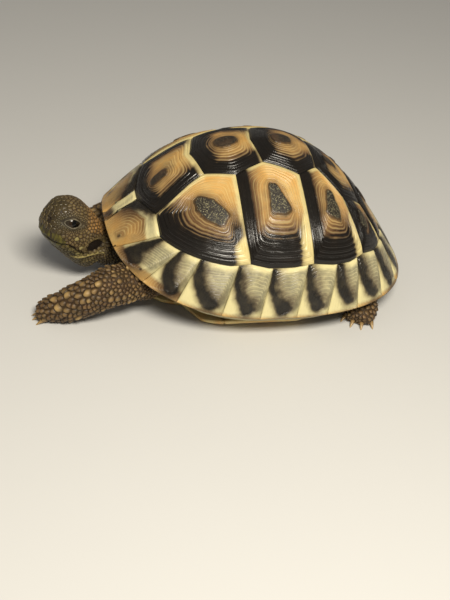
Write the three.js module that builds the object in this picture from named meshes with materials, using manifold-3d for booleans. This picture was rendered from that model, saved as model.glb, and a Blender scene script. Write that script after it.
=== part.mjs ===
// A young Hermann's tortoise at life size, lying on its plastron with its head raised and its left
// foreleg stretched forward. Millimetres, +Z up, the head towards -Y, the animal's left towards +X.
// The shell is a thin plate for each scute over one trunk. The head, neck, legs, tail and eyes are
// solids of their own.
import * as THREE from "three";
import { mergeVertices } from "three/addons/utils/BufferGeometryUtils.js";
import Module from "manifold-3d";

const wasm = await Module();
wasm.setup();

// ---------------------------------------------------------------- driving dimensions

const ORIGIN_Y = 12.72; // from the middle of the box round the whole animal to the middle of the shell
const GAP = 0.2; // each plate stops this far short of its seam
const SLANT = 1.25; // a gap measured towards a plate's middle is about this much longer than across the seam
const PLATE = 1.2; // thickness of a scute
const GROOVE = 0.5; // depth of a seam below the dome
const SHOULDER = 0.1; // depth of a plate's shoulder beside the seam
const AREOLA_RISE = 0.1; // height of a plate's middle above the dome
// A plate's shoulder, full surface, areola and inner face, as shares of its outline.
const SHOULDER_SHARE = 0.88;
const LEVEL_SHARE = 0.6;
const AREOLA_SHARE = 0.3;
const INNER_SHARE = 0.5;
const SCUTE_EDGE = 5.5; // longest straight stretch of a scute's outline
const TRUNK_DEPTH = 2.2; // the trunk's surface below the scutes' outer surface

// The dome: at each level from the rim (0) to the crown (1), how far out and how high it is
// at the front, at the side and at the rear.
const LEVELS = [0, 0.2, 0.4, 0.62, 0.82, 1];
const FRONT = { out: [50, 40, 35, 24.5, 12.2, 0], up: [24, 32.5, 37.5, 46.5, 50.8, 52.6] };
const SIDE = { out: [41, 37.5, 32.7, 21.1, 11, 0], up: [9.5, 26.5, 35.4, 44.9, 50.3, 52.6] };
const REAR = { out: [51.6, 43, 34.5, 23.5, 12.2, 0], up: [9.5, 22.5, 33.5, 43.5, 50.4, 52.6] };
const CROWN_Y = -1;
const BOXINESS = 2.6; // exponent of the rim's plan outline, 2 being an ellipse
const ROUND_FROM = 0.26; // the plan outline turns from boxy to round between this level and the crown

// Under the rim the marginals turn inwards, over the limbs as a lip and between them as the bridge:
// [inward, rise] from the rim to the lip's inner edge, back over it and up to the plate's inner face.
const LIP = [[6, 1.8], [5.8, 3.4], [4.2, 3.5]];
const BRIDGE = [[5.8, -4.9], [6.4, -3.1], [2.6, 0.4]];
const BRIDGE_SPAN = [50, 62, 108, 122]; // degrees: where it begins, is whole, and ends

// Seams round the marginal ring, in degrees from the front: at the rim and where they meet the dome.
const MARGINAL_SEAMS = [
  [3.5, 4], [21, 35], [41, 47], [55, 56.5], [71, 73], [85, 88.5], [98.5, 104], [110, 117],
  [122, 128], [135, 141], [149, 154], [164, 165], [180, 180],
];
const RING_TOP = 0.2;
const RING_GAP = 0.003; // as a level, the plates of the ring stop this far short of the dome's
const RING_STEP = 11; // degrees between points along the top edge of the ring
const RING_PEAK_CLEAR = 4; // and the fewest degrees from such a point to a peak
const RING_SHOULDER = 0.82; // a marginal's shoulder and fullest place, as shares of the way up from its rim
const RING_FULLEST = 0.4;
// The top edge rises to a point where two plates of the dome meet:
// [degrees, rise, reach before, reach after].
const RING_PEAKS = [[25, 0.1, 21, 10], [78, 0.02, 9, 9], [106.5, 0.015, 9, 9], [132.5, 0.02, 9, 9]];

// Corners of the dome's scutes on the left: [degrees from the front, level].
const CORNER = {
  v1v2c1: [34.5, 0.636], v2c1c2: [58.6, 0.701], v2v3c2: [84.5, 0.813], v3c2c3: [122, 0.7],
  v3v4c3: [149, 0.69], v4c3c4: [147, 0.5], v4v5c4: [160, 0.4],
};
const RING_CORNER = { v1c1: 25, c1c2: 78, c2c3: 106.5, c3c4: 132.5, c4v5: 152, v1Nuchal: 4 };
// Where the seams between vertebrals cross the midline on the unit plan of the dome, the front negative.
const MIDLINE = { v1v2: -0.354, v2v3: -0.047, v3v4: 0.275, v4v5: 0.57 };
// The middle of each scute's areola on the unit plan of the dome, [left, back].
const AREOLA = {
  v1: [0, -0.53], v2: [0, -0.165], v3: [0, 0.1], v4: [0, 0.4], v5: [0, 0.67],
  c1: [0.405, -0.3], c2: [0.42, 0.03], c3: [0.367, 0.324], c4: [0.34, 0.53],
};

// The plastron is flat between these places and curves up beyond them, by each curve times the
// distance squared.
const FLAT = { front: -24, rear: 20, halfWidth: 26 };
const CURVE = { front: 0.005, rear: 0.008, side: 0.045 };
const BELLY_PLATE = { thickness: 1.4, groove: 0.25, length: 12 };
// Corners of its scutes on the left: [left, back].
const PLASTRON = {
  gular: [[0, -41.5], [6.5, -44], [12.5, -39.5], [0, -34]],
  humeral: [[0, -34], [12.5, -39.5], [17.5, -33], [19.5, -26.5], [0, -24]],
  pectoral: [[0, -24], [19.5, -26.5], [29.5, -21], [34, -15], [18, -17], [0, -17.5]],
  abdominal: [[0, -17.5], [18, -17], [34, -15], [34.6, 9], [30, 14.5], [20, 17.5], [0, 9.5]],
  femoral: [[0, 9.5], [20, 17.5], [19.5, 23], [17.5, 28], [0, 21.5]],
  anal: [[0, 21.5], [17.5, 28], [13.5, 34], [8, 38], [0, 34]],
};

// The trunk under the dome's plates, at these levels, then down the inside of the ring and in to the belly:
// [out, up] at the front, side and rear.
const TRUNK_LEVELS = [0.93, 0.82, 0.66, 0.5, 0.36, 0.24];
const TRUNK_BELTS = [
  [[38.4, 28], [33.4, 14], [38, 16]],
  [[34, 10], [31, 8], [34, 10]],
  [[30, 4.6], [27.5, 3], [29, 4.2]],
];

// The head, in its own frame: forward, left and up from the middle of the skull.
const HEAD_MIDDLE = [0.5, -61, 21.7];
const HEAD_YAW = 26; // degrees to the left
const HEAD_PITCH = 26; // degrees up
// [forward, half width, top, bottom, height of the widest place]
const HEAD_STATIONS = [
  [11.5, 2, 2.6, -1.5, 0.2], [11, 3.9, 5, -4.1, -0.2], [9.6, 5.4, 7.2, -6, -0.7],
  [7.2, 6.7, 8.6, -7.4, -1.1], [4.2, 7.8, 9.2, -8.8, -1.4], [0.6, 8.5, 8.8, -10.2, -1.8],
  [-3.2, 9, 7.2, -11.7, -2.4], [-6.6, 9, 5.2, -12.9, -3], [-9.2, 8.4, 3.2, -13.3, -3.4],
  [-10.8, 7.6, 2, -12.6, -3.6],
];
const HEAD_FULLNESS = 0.82; // below 1, the cross-section is fuller than an ellipse
const EYE = { forward: 5, left: 4.7, up: 2.4, radius: 3 };

// The neck, legs and tail, each as [left, back, height, half width, half height] along its way out
// of the shell.
const NECK = [
  [0, -34, 12, 8.6, 6.8], [-0.6, -41, 11.9, 9, 7], [-1.6, -46.6, 12.2, 9.2, 7.1],
  [-2.6, -51.6, 13, 9, 7], [-2.9, -56, 14, 8.4, 6.6],
];
const FORELEG_LEFT = [
  [13, -29, 12, 7.2, 6.4], [18, -37, 12.2, 6.9, 6.6], [21.8, -44.5, 12.8, 6.6, 6.6],
  [24, -51, 12.6, 6.3, 6.5], [24.4, -57.5, 9.6, 5.9, 6], [23.4, -63.5, 6.2, 5.6, 5.4],
  [22.2, -68.4, 3.9, 5.2, 4.1], [21.4, -71.8, 2.8, 4.6, 3], [21, -73.4, 2.2, 3.4, 2.1],
];
const FORELEG_RIGHT = [
  [-12, -28, 11, 7, 5.8], [-18.5, -32.5, 10.4, 6.6, 5.6], [-24.5, -36.5, 9, 6.3, 5.2],
  [-29, -40.6, 7.4, 6, 5], [-31.4, -45, 5.6, 5.7, 4.6], [-31.8, -49, 3.9, 5.3, 3.8],
  [-31.4, -52.4, 2.8, 4.7, 2.9], [-31.1, -54.2, 2.2, 3.6, 2.1],
];
const HINDLEG_LEFT = [
  [12, 20, 10.2, 7, 6.2], [18, 26, 8.6, 6.8, 5.4], [23.6, 30.6, 6, 6.4, 4.5],
  [28, 32.2, 4.4, 6, 4.1], [31.8, 31.2, 3.2, 5.4, 3.4], [34.2, 30, 2.4, 4, 2.4],
];
const TAIL = [
  [0, 32, 9.6, 4.4, 3.4], [0.4, 37.6, 8.2, 4, 3.1], [1.4, 42.2, 6.2, 3.1, 2.6], [3, 45.4, 4.3, 2.1, 1.9],
  [4.6, 47.4, 3, 1.2, 1.2], [5.4, 48.2, 2.4, 0.5, 0.5],
];
const CLAW = { radius: 0.8, length: 4, sides: 6, droop: 12, sunk: 1.3, height: 1.5 };
// A foot's claws stand in a row this much wider than its end, the outer ones this far back.
const CLAW_ROW = { wide: 1.12, swept: 2 };
const FORE_CLAWS = { count: 5, spread: 26 };
const HIND_CLAWS = { count: 4, spread: 24 };
const CLEAR = 0.35; // a limb stops this far short of the trunk it comes out of

// ---------------------------------------------------------------- curves and the dome

const radians = THREE.MathUtils.degToRad;
const lerp = THREE.MathUtils.lerp;

// A smooth curve through the values at LEVELS.
function throughLevels(values, level) {
  const n = LEVELS.length;
  const slope = values.map((_, i) => (values[Math.min(i + 1, n - 1)] - values[Math.max(i - 1, 0)])
    / (LEVELS[Math.min(i + 1, n - 1)] - LEVELS[Math.max(i - 1, 0)]));
  slope[0] = 1.5 * slope[0] - 0.5 * slope[1];
  slope[n - 1] = 1.5 * slope[n - 1] - 0.5 * slope[n - 2];
  let i = 0;
  while (i < n - 2 && level >= LEVELS[i + 1]) i += 1;
  const width = LEVELS[i + 1] - LEVELS[i];
  const t = THREE.MathUtils.clamp((level - LEVELS[i]) / width, 0, 1);
  const a = t * t * (3 - 2 * t);
  return (1 - a) * values[i] + a * values[i + 1]
    + width * t * (1 - t) * ((1 - t) * slope[i] - t * slope[i + 1]);
}

// A place round the animal from [out, up] at the front, side and rear, on a boxy or, at squareness 0,
// a round plan.
function roundTheBody(angle, [front, side, rear], squareness = 1) {
  const c = Math.cos(angle);
  const s = Math.sin(angle);
  const corner = (Math.abs(c) ** BOXINESS + Math.abs(s) ** BOXINESS) ** (-1 / BOXINESS);
  const reach = 1 + (corner - 1) * squareness;
  const ends = c > 0 ? front : rear;
  return new THREE.Vector3(
    side[0] * s * reach,
    CROWN_Y - ends[0] * c * reach,
    ends[1] * c * c + side[1] * s * s,
  );
}

function domeAt(angle, level) {
  const pick = (profile) => [throughLevels(profile.out, level), throughLevels(profile.up, level)];
  const squareness = Math.min(1, (1 - level) / (1 - ROUND_FROM));
  return roundTheBody(angle, [pick(FRONT), pick(SIDE), pick(REAR)], squareness);
}

// The dome laid out on a unit disc: [left, back], the crown in the middle and the rim at radius 1.
const onDisc = (degrees, level) => [
  (1 - level) * Math.sin(radians(degrees)),
  -(1 - level) * Math.cos(radians(degrees)),
];

// A place at a height above the dome, from its place on the unit disc.
function domeSurface([left, back], height) {
  const place = (l, b) => domeAt(Math.atan2(l, -b), 1 - Math.hypot(l, b));
  const step = 1e-3;
  const across = place(left + step, back).sub(place(left - step, back));
  const along = place(left, back + step).sub(place(left, back - step));
  const outward = across.cross(along).normalize();
  return place(left, back).addScaledVector(outward, height);
}

// The level of the marginal ring's top edge.
function ringTop(degrees) {
  const d = Math.abs(degrees);
  return RING_PEAKS.reduce((top, [peak, rise, before, after]) => {
    const away = d < peak ? (peak - d) / before : (d - peak) / after;
    return top + rise * Math.max(0, 1 - away);
  }, RING_TOP);
}

// ---------------------------------------------------------------- solids from rings of points

// A closed mesh from points and triangles, turned to face outwards.
function closedGeometry(points, triangles) {
  const volume = triangles.reduce((sum, [a, b, c]) =>
    sum + points[a].dot(new THREE.Vector3().crossVectors(points[b], points[c])), 0);
  const facing = volume > 0 ? triangles : triangles.map(([a, b, c]) => [a, c, b]);
  const geometry = new THREE.BufferGeometry().setFromPoints(points);
  geometry.setIndex(facing.flat());
  return geometry;
}

// Triangles between two rings of equal count that start at indexes a and b.
function strip(a, b, count) {
  return Array.from({ length: count }, (_, i) => {
    const j = (i + 1) % count;
    return [[a + i, a + j, b + i], [a + j, b + j, b + i]];
  }).flat();
}

const fan = (start, count, middle) =>
  Array.from({ length: count }, (_, i) => [start + i, start + ((i + 1) % count), middle]);

// Rings joined in order, each end closed to a middle point.
function loft(rings) {
  const count = rings[0].length;
  const points = rings.flat();
  const triangles = rings.slice(1).flatMap((_, i) => strip(i * count, (i + 1) * count, count));
  [0, rings.length - 1].forEach((end, side) => {
    const middle = rings[end].reduce((sum, p) => sum.add(p), new THREE.Vector3()).divideScalar(count);
    points.push(middle);
    const cap = fan(end * count, count, points.length - 1);
    triangles.push(...(side ? cap : cap.map(([a, b, c]) => [b, a, c])));
  });
  return closedGeometry(points, triangles);
}

// ---------------------------------------------------------------- scutes of the dome and the plastron

// An outline with its long edges divided, so that it follows the curved surface.
function divided(corners, surface, length) {
  return corners.flatMap((a, i) => {
    const b = corners[(i + 1) % corners.length];
    const parts = Math.max(1, Math.round(surface(a, 0).distanceTo(surface(b, 0)) / length));
    return Array.from({ length: parts }, (_, k) => [0, 1].map((axis) => lerp(a[axis], b[axis], k / parts)));
  });
}

// A plate over a surface: a seam groove all round, a crown, and the raised areola round its middle.
function plate(corners, middle, surface, { thickness = PLATE, groove = GROOVE, length = SCUTE_EDGE } = {}) {
  const outline = divided(corners, surface, length);
  const centre = surface(middle, 0);
  const ring = (share, height) => outline.map((p) => {
    const away = surface(p, 0).distanceTo(centre);
    const t = share * (1 - (GAP * SLANT) / away);
    return surface([lerp(middle[0], p[0], t), lerp(middle[1], p[1], t)], height);
  });
  const outer = [
    ring(1, -groove), ring(SHOULDER_SHARE, -SHOULDER), ring(LEVEL_SHARE, 0), ring(AREOLA_SHARE, AREOLA_RISE),
  ];
  const inner = [ring(1, -thickness - groove / 2), ring(INNER_SHARE, -thickness)];
  const count = outline.length;
  const points = [...outer, ...inner].flat();
  const level = (i) => i * count;
  const triangles = [
    ...[0, 1, 2].flatMap((i) => strip(level(i), level(i + 1), count)),
    ...fan(level(3), count, points.length),
    ...strip(level(4), level(0), count),
    ...strip(level(5), level(4), count),
    ...fan(level(5), count, points.length + 1).map(([a, b, c]) => [b, a, c]),
  ];
  points.push(surface(middle, AREOLA_RISE), surface(middle, -thickness));
  return closedGeometry(points, triangles);
}

const mirrored = (corners) => corners.map(([left, back]) => [-left, back]).reverse();

// Points along the marginal ring's top edge between two angles, the corners at its peaks included.
function alongRing(from, to) {
  const stops = RING_PEAKS.map(([peak]) => peak).flatMap((p) => [p, -p])
    .filter((p) => p > Math.min(from, to) + 1 && p < Math.max(from, to) - 1);
  const parts = Math.max(1, Math.round(Math.abs(to - from) / RING_STEP));
  const even = Array.from({ length: parts + 1 }, (_, i) => lerp(from, to, i / parts))
    .filter((a) => stops.every((s) => Math.abs(a - s) > RING_PEAK_CLEAR));
  return [...even, ...stops].sort((a, b) => (a - b) * Math.sign(to - from))
    .map((a) => onDisc(a, ringTop(a)));
}

const corner = (name) => onDisc(...CORNER[name]);

// A vertebral's outline from the corners of its left half, front to back, with the midline points given.
const bothSides = (leftHalf, front, rear) =>
  [...(front ? [front] : []), ...leftHalf, ...(rear ? [rear] : []), ...mirrored(leftHalf)];

function vertebrals() {
  const { v1Nuchal, v1c1, c4v5 } = RING_CORNER;
  const crossing = (name) => [0, MIDLINE[name]];
  const outlines = {
    v1: bothSides([...alongRing(v1Nuchal, v1c1), corner("v1v2c1")], null, crossing("v1v2")),
    v2: bothSides([corner("v1v2c1"), corner("v2c1c2"), corner("v2v3c2")], crossing("v1v2"), crossing("v2v3")),
    v3: bothSides([corner("v2v3c2"), corner("v3c2c3"), corner("v3v4c3")], crossing("v2v3"), crossing("v3v4")),
    v4: bothSides([corner("v3v4c3"), corner("v4c3c4"), corner("v4v5c4")], crossing("v3v4"), crossing("v4v5")),
    v5: bothSides(
      [corner("v4v5c4"), ...alongRing(c4v5, 180).slice(0, -1)], crossing("v4v5"), onDisc(180, RING_TOP)),
  };
  return Object.entries(outlines).map(([name, outline], i) =>
    [`vertebral_${i + 1}`, plate(outline, AREOLA[name], domeSurface)]);
}

function costals() {
  const { v1c1, c1c2, c2c3, c3c4, c4v5 } = RING_CORNER;
  const outlines = {
    c1: [...alongRing(c1c2, v1c1), corner("v1v2c1"), corner("v2c1c2")],
    c2: [...alongRing(c2c3, c1c2), corner("v2c1c2"), corner("v2v3c2"), corner("v3c2c3")],
    c3: [...alongRing(c3c4, c2c3), corner("v3c2c3"), corner("v3v4c3"), corner("v4c3c4")],
    c4: [...alongRing(c4v5, c3c4), corner("v4c3c4"), corner("v4v5c4")],
  };
  return Object.entries(outlines).flatMap(([name, outline], i) => {
    const [left, back] = AREOLA[name];
    return [
      [`costal_left_${i + 1}`, plate(outline, [left, back], domeSurface)],
      [`costal_right_${i + 1}`, plate(mirrored(outline), [-left, back], domeSurface)],
    ];
  });
}

// A place under the rim, from how far in and how much higher it is over the limbs and at the bridge.
function underRim(degrees, lip, bridge) {
  const [begins, whole, wholeTo, ends] = BRIDGE_SPAN;
  const d = Math.abs(degrees);
  const share = THREE.MathUtils.smoothstep(d, begins, whole) - THREE.MathUtils.smoothstep(d, wholeTo, ends);
  const rim = domeAt(radians(degrees), 0);
  const inward = new THREE.Vector3(-rim.x, CROWN_Y - rim.y, 0).normalize();
  return rim.addScaledVector(inward, lerp(lip[0], bridge[0], share))
    .add(new THREE.Vector3(0, 0, lerp(lip[1], bridge[1], share)));
}

// The cut through a marginal, from its top edge down the outside to the rim and up the inside again.
const MARGINAL_CUT = [[0, 1, 7], [1, 2, 7], [2, 6, 7], [2, 3, 6], [3, 4, 5], [3, 5, 6]];

// One plate of the marginal ring between two seams, each [degrees at the rim, degrees at the top].
function marginal(from, to, columns = 4) {
  const cutAt = (share) => {
    const rim = lerp(from[0], to[0], share);
    const top = lerp(from[1], to[1], share);
    const topLevel = ringTop(top) - RING_GAP;
    const outside = (part, height) =>
      domeSurface(onDisc(lerp(rim, top, part), Math.max(RING_GAP / 6, topLevel * part)), height);
    return [
      outside(1, -GROOVE), outside(RING_SHOULDER, -SHOULDER),
      outside(RING_FULLEST, AREOLA_RISE), outside(0, 0),
      ...LIP.map((lip, i) => underRim(rim, lip, BRIDGE[i])), outside(1, -GROOVE - PLATE),
    ];
  };
  const inset = GAP / domeAt(radians(from[0]), 0).distanceTo(domeAt(radians(to[0]), 0));
  const cuts = Array.from({ length: columns + 1 }, (_, i) => cutAt(lerp(inset, 1 - inset, i / columns)));
  const count = cuts[0].length;
  const triangles = [
    ...cuts.slice(1).flatMap((_, i) => strip(i * count, (i + 1) * count, count)),
    ...MARGINAL_CUT.map(([a, b, c]) => [c, b, a]),
    ...MARGINAL_CUT.map((corners) => corners.map((i) => i + columns * count)),
  ];
  return closedGeometry(cuts.flat(), triangles);
}

function marginalRing() {
  const negative = ([rim, top]) => [-rim, -top];
  const [nuchalSeam] = MARGINAL_SEAMS;
  const made = [["nuchal", marginal(negative(nuchalSeam), nuchalSeam, 2)]];
  MARGINAL_SEAMS.slice(1).forEach((to, i) => {
    const from = MARGINAL_SEAMS[i];
    const name = (side) => (i < 11 ? `marginal_${side}_${i + 1}` : `supracaudal_${side}`);
    made.push([name("left"), marginal(from, to)]);
    made.push([name("right"), marginal(negative(to), negative(from))]);
  });
  return made;
}

// A place on the plastron, from its place in plan. Heights above 0 are left out, so that the flats
// stay level.
function plastronSurface([left, back], height) {
  const beyond = {
    front: Math.max(0, FLAT.front - back),
    rear: Math.max(0, back - FLAT.rear),
    side: Math.max(0, Math.abs(left) - FLAT.halfWidth),
  };
  const rise = Object.keys(beyond).reduce((sum, end) => sum + CURVE[end] * beyond[end] ** 2, 0);
  return new THREE.Vector3(left, back, rise - Math.min(0, height));
}

function plastron() {
  return Object.entries(PLASTRON).flatMap(([name, corners]) => {
    const [left, back] = [0, 1].map((i) => corners.reduce((sum, c) => sum + c[i], 0) / corners.length);
    return [
      [`${name}_left`, plate(corners, [left, back], plastronSurface, BELLY_PLATE)],
      [`${name}_right`, plate(mirrored(corners), [-left, back], plastronSurface, BELLY_PLATE)],
    ];
  });
}

// ---------------------------------------------------------------- trunk, head, neck, legs and tail

// The body inside the shell, or with grown above 0 one that much bigger, to cut its neighbours clear.
function trunk(grown = 0) {
  const columns = 24;
  const angles = Array.from({ length: columns }, (_, i) => (i / columns) * Math.PI * 2);
  const dome = TRUNK_LEVELS.map((level) => angles.map((angle) =>
    domeSurface([(1 - level) * Math.sin(angle), -(1 - level) * Math.cos(angle)], grown - TRUNK_DEPTH)));
  const belts = TRUNK_BELTS.map((belt) => angles.map((angle) =>
    roundTheBody(angle, belt.map(([out, up]) => [out + grown, up]))));
  belts.at(-1).forEach((place) => place.setZ(place.z - grown));
  return loft([...dome, ...belts]);
}

function headFrame() {
  const frame = new THREE.Matrix4().makeTranslation(...HEAD_MIDDLE);
  frame.multiply(new THREE.Matrix4().makeRotationZ(radians(HEAD_YAW)));
  return frame.multiply(new THREE.Matrix4().makeRotationX(radians(-HEAD_PITCH)));
}

// A place on the head from forward, left and up.
const onHead = (forward, left, up) => new THREE.Vector3(left, -forward, up).applyMatrix4(headFrame());

// The skull, or with grown above 0 one that much bigger, to cut the neck clear of it.
function head(grown = 0) {
  const sides = 16;
  const full = (value) => Math.sign(value) * Math.abs(value) ** HEAD_FULLNESS;
  const rings = HEAD_STATIONS.map(([forward, half, top, bottom, waist]) =>
    Array.from({ length: sides }, (_, i) => {
      const angle = (i / sides) * Math.PI * 2;
      const tall = grown + (Math.cos(angle) > 0 ? top - waist : waist - bottom);
      const across = (half + grown) * full(Math.sin(angle));
      return onHead(forward + grown * Math.sign(forward), across, waist + tall * full(Math.cos(angle)));
    }));
  return loft(rings);
}

function eye(side, grown = 0) {
  const ball = new THREE.SphereGeometry(EYE.radius + grown, 12, 8);
  ball.translate(...onHead(EYE.forward, side * EYE.left, EYE.up).toArray());
  return ball;
}

// A limb through stations of [left, back, height, half width, half height]; rings stand square to its path.
function tube(stations, sides = 12) {
  const middles = stations.map(([x, y, z]) => new THREE.Vector3(x, y, z));
  const rings = stations.map(([, , , wide, high], i) => {
    const next = middles[Math.min(i + 1, middles.length - 1)];
    const along = next.clone().sub(middles[Math.max(i - 1, 0)]).normalize();
    const across = new THREE.Vector3().crossVectors(along, new THREE.Vector3(0, 0, 1)).normalize();
    const over = new THREE.Vector3().crossVectors(across, along);
    return Array.from({ length: sides }, (_, k) => {
      const angle = (k / sides) * Math.PI * 2;
      const place = middles[i].clone().addScaledVector(across, wide * Math.cos(angle));
      return place.addScaledVector(over, high * Math.sin(angle));
    });
  });
  return loft(rings);
}

// ---------------------------------------------------------------- joining and cutting

function toSolid(geometry) {
  const bare = geometry.clone();
  ["normal", "uv"].forEach((name) => bare.deleteAttribute(name));
  const merged = mergeVertices(bare, 1e-4);
  return new wasm.Manifold(new wasm.Mesh({
    numProp: 3,
    vertProperties: new Float32Array(merged.attributes.position.array),
    triVerts: new Uint32Array(merged.index.array),
  }));
}

function toGeometry(solid) {
  const mesh = solid.getMesh();
  const places = new Float32Array(mesh.numVert * 3);
  for (let i = 0; i < mesh.numVert; i += 1) {
    places.set(mesh.vertProperties.subarray(i * mesh.numProp, i * mesh.numProp + 3), i * 3);
  }
  const geometry = new THREE.BufferGeometry();
  geometry.setAttribute("position", new THREE.BufferAttribute(places, 3));
  return geometry.setIndex(new THREE.BufferAttribute(new Uint32Array(mesh.triVerts), 1));
}

// Everything above the floor, so that feet and claws stand flat on it.
const aboveFloor = toSolid(new THREE.BoxGeometry(300, 300, 100).translate(0, 0, 50));

const biggest = (solid) => solid.decompose().sort((a, b) => b.volume() - a.volume())[0];

// Claws in a row across the end of a foot, spread like fingers.
function claws(stations, { count, spread }) {
  const [nearX, nearY] = stations.at(-2);
  const [x, y, , wide] = stations.at(-1);
  return Array.from({ length: count }, (_, i) => {
    const share = (i / (count - 1)) * 2 - 1;
    const claw = new THREE.ConeGeometry(CLAW.radius, CLAW.length, CLAW.sides);
    claw.rotateZ(-Math.PI / 2).translate(CLAW.length / 2 - CLAW.sunk, 0, 0);
    claw.rotateY(radians(CLAW.droop)).rotateZ(share * radians(spread));
    claw.translate(-CLAW_ROW.swept * share * share, share * wide * CLAW_ROW.wide, CLAW.height);
    return toSolid(claw.rotateZ(Math.atan2(y - nearY, x - nearX)).translate(x, y, 0));
  });
}

function leg(stations, clawsOfFoot, cutter) {
  const whole = claws(stations, clawsOfFoot).reduce((sum, claw) => sum.add(claw), toSolid(tube(stations)));
  return toGeometry(biggest(whole.subtract(cutter).intersect(aboveFloor)));
}

function softParts() {
  const cutter = toSolid(trunk(CLEAR));
  const sockets = [1, -1].map((side) => toSolid(eye(side, CLEAR)));
  const skull = sockets.reduce((left, socket) => left.subtract(socket), toSolid(head()));
  const neck = toSolid(tube(NECK, 16)).subtract(cutter).subtract(toSolid(head(CLEAR)));
  const hindlegRight = HINDLEG_LEFT.map(([x, ...rest]) => [-x, ...rest]);
  return [
    ["trunk", trunk()],
    ["head", toGeometry(biggest(skull))],
    ["neck", toGeometry(biggest(neck))],
    ["foreleg_left", leg(FORELEG_LEFT, FORE_CLAWS, cutter)],
    ["foreleg_right", leg(FORELEG_RIGHT, FORE_CLAWS, cutter)],
    ["hindleg_left", leg(HINDLEG_LEFT, HIND_CLAWS, cutter)],
    ["hindleg_right", leg(hindlegRight, HIND_CLAWS, cutter)],
    ["tail", toGeometry(biggest(toSolid(tube(TAIL, 10)).subtract(cutter)))],
  ];
}

// ---------------------------------------------------------------- the tortoise

const HORN = { color: 0xb39a52, roughness: 0.42, metalness: 0 };
const BELLY = { color: 0xc4ae6c, roughness: 0.5, metalness: 0 };
const SKIN = { color: 0x5b5138, roughness: 0.75, metalness: 0 };
const EYEBALL = { color: 0x0d0b09, roughness: 0.12, metalness: 0 };

const tortoise = new THREE.Group();
function add(nodes, finish) {
  nodes.forEach(([name, geometry]) => {
    const mesh = new THREE.Mesh(geometry, new THREE.MeshStandardMaterial(finish));
    mesh.name = name;
    tortoise.add(mesh);
  });
}
add(marginalRing(), HORN);
add(vertebrals(), HORN);
add(costals(), HORN);
add(plastron(), BELLY);
add(softParts(), SKIN);
add([["eye_left", eye(1)], ["eye_right", eye(-1)]], EYEBALL);
tortoise.position.y = ORIGIN_Y;

export default tortoise;
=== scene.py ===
"""A young Hermann's tortoise at life size. Every scute is horn with its own growth rings and markings,
one scaly skin covers the head, neck, legs, tail and trunk, and the eyes and claws are pieces of their own.
Sizes are in millimetres from the middle of the shell, the head towards -Y and the left side towards +X."""
import math

import bmesh
import bpy
import numpy as np
from mathutils import Matrix, Vector
from mathutils.bvhtree import BVHTree
from mathutils.kdtree import KDTree


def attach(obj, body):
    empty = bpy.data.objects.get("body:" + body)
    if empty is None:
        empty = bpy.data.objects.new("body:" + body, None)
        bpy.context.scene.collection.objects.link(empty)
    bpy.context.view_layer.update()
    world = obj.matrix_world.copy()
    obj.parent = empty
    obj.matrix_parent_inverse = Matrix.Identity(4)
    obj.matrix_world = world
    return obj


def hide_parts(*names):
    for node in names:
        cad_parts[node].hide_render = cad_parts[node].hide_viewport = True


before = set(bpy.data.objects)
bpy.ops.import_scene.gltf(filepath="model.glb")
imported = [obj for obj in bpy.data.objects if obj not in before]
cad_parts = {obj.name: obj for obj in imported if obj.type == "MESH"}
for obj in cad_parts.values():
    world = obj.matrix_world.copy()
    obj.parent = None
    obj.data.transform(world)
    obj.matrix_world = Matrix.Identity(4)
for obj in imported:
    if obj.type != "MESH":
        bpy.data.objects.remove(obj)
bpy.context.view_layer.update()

bl_info = {
    "name": "Hermann's tortoise",
    "version": (1, 0, 0),
    "blender": (4, 5, 0),
    "location": "3D View > Sidebar > Tortoise",
    "description": "Builds a young tortoise around its packed solids",
    "category": "Object",
}

BODY = "root"
MM = 0.001
ORIGIN_Y = 12.72  # from the middle of the box round the whole animal to the middle of the shell

# ---------------------------------------------------------------- the dome, as the solids have it

# At each level from the rim (0) to the crown (1): how far out and how high the dome is.
LEVELS = np.array([0, 0.2, 0.4, 0.62, 0.82, 1])
FRONT = ([50, 40, 35, 24.5, 12.2, 0], [24, 32.5, 37.5, 46.5, 50.8, 52.6])
SIDE = ([41, 37.5, 32.7, 21.1, 11, 0], [9.5, 26.5, 35.4, 44.9, 50.3, 52.6])
REAR = ([51.6, 43, 34.5, 23.5, 12.2, 0], [9.5, 22.5, 33.5, 43.5, 50.4, 52.6])
CROWN_Y = -1  # the crown's place behind the middle of the shell
BOXINESS = 2.6  # exponent of the rim's plan outline, 2 being an ellipse
ROUND_FROM = 0.26  # the plan outline turns from boxy to round between this level and the crown

# Under the rim: [inward, rise] from the rim, over the limbs and at the bridge between them, which
# begins, is whole, stops being whole and ends at these degrees from the front.
LIP = [(6, 1.8), (5.8, 3.4), (4.2, 3.5)]
BRIDGE = [(5.8, -4.9), (6.4, -3.1), (2.6, 0.4)]
BRIDGE_SPAN = (50, 62, 108, 122)

# Seams round the marginal ring in degrees from the front, at the rim and at the top.
MARGINAL_SEAMS = [
    (3.5, 4), (21, 35), (41, 47), (55, 56.5), (71, 73), (85, 88.5), (98.5, 104), (110, 117),
    (122, 128), (135, 141), (149, 154), (164, 165), (180, 180),
]
RING_TOP = 0.2  # level of the marginal ring's top edge
RING_GAP = 0.003  # levels left open over the ring
# Where the top edge rises to a point: [degrees, rise in levels, degrees before and after it].
RING_PEAKS = [(25, 0.1, 21, 10), (78, 0.02, 9, 9), (106.5, 0.015, 9, 9), (132.5, 0.02, 9, 9)]

# Where the seams of the dome meet: [degrees from the front, level].
CORNER = {
    "v1v2c1": (34.5, 0.636), "v2c1c2": (58.6, 0.701), "v2v3c2": (84.5, 0.813), "v3c2c3": (122, 0.7),
    "v3v4c3": (149, 0.69), "v4c3c4": (147, 0.5), "v4v5c4": (160, 0.4),
}
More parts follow.
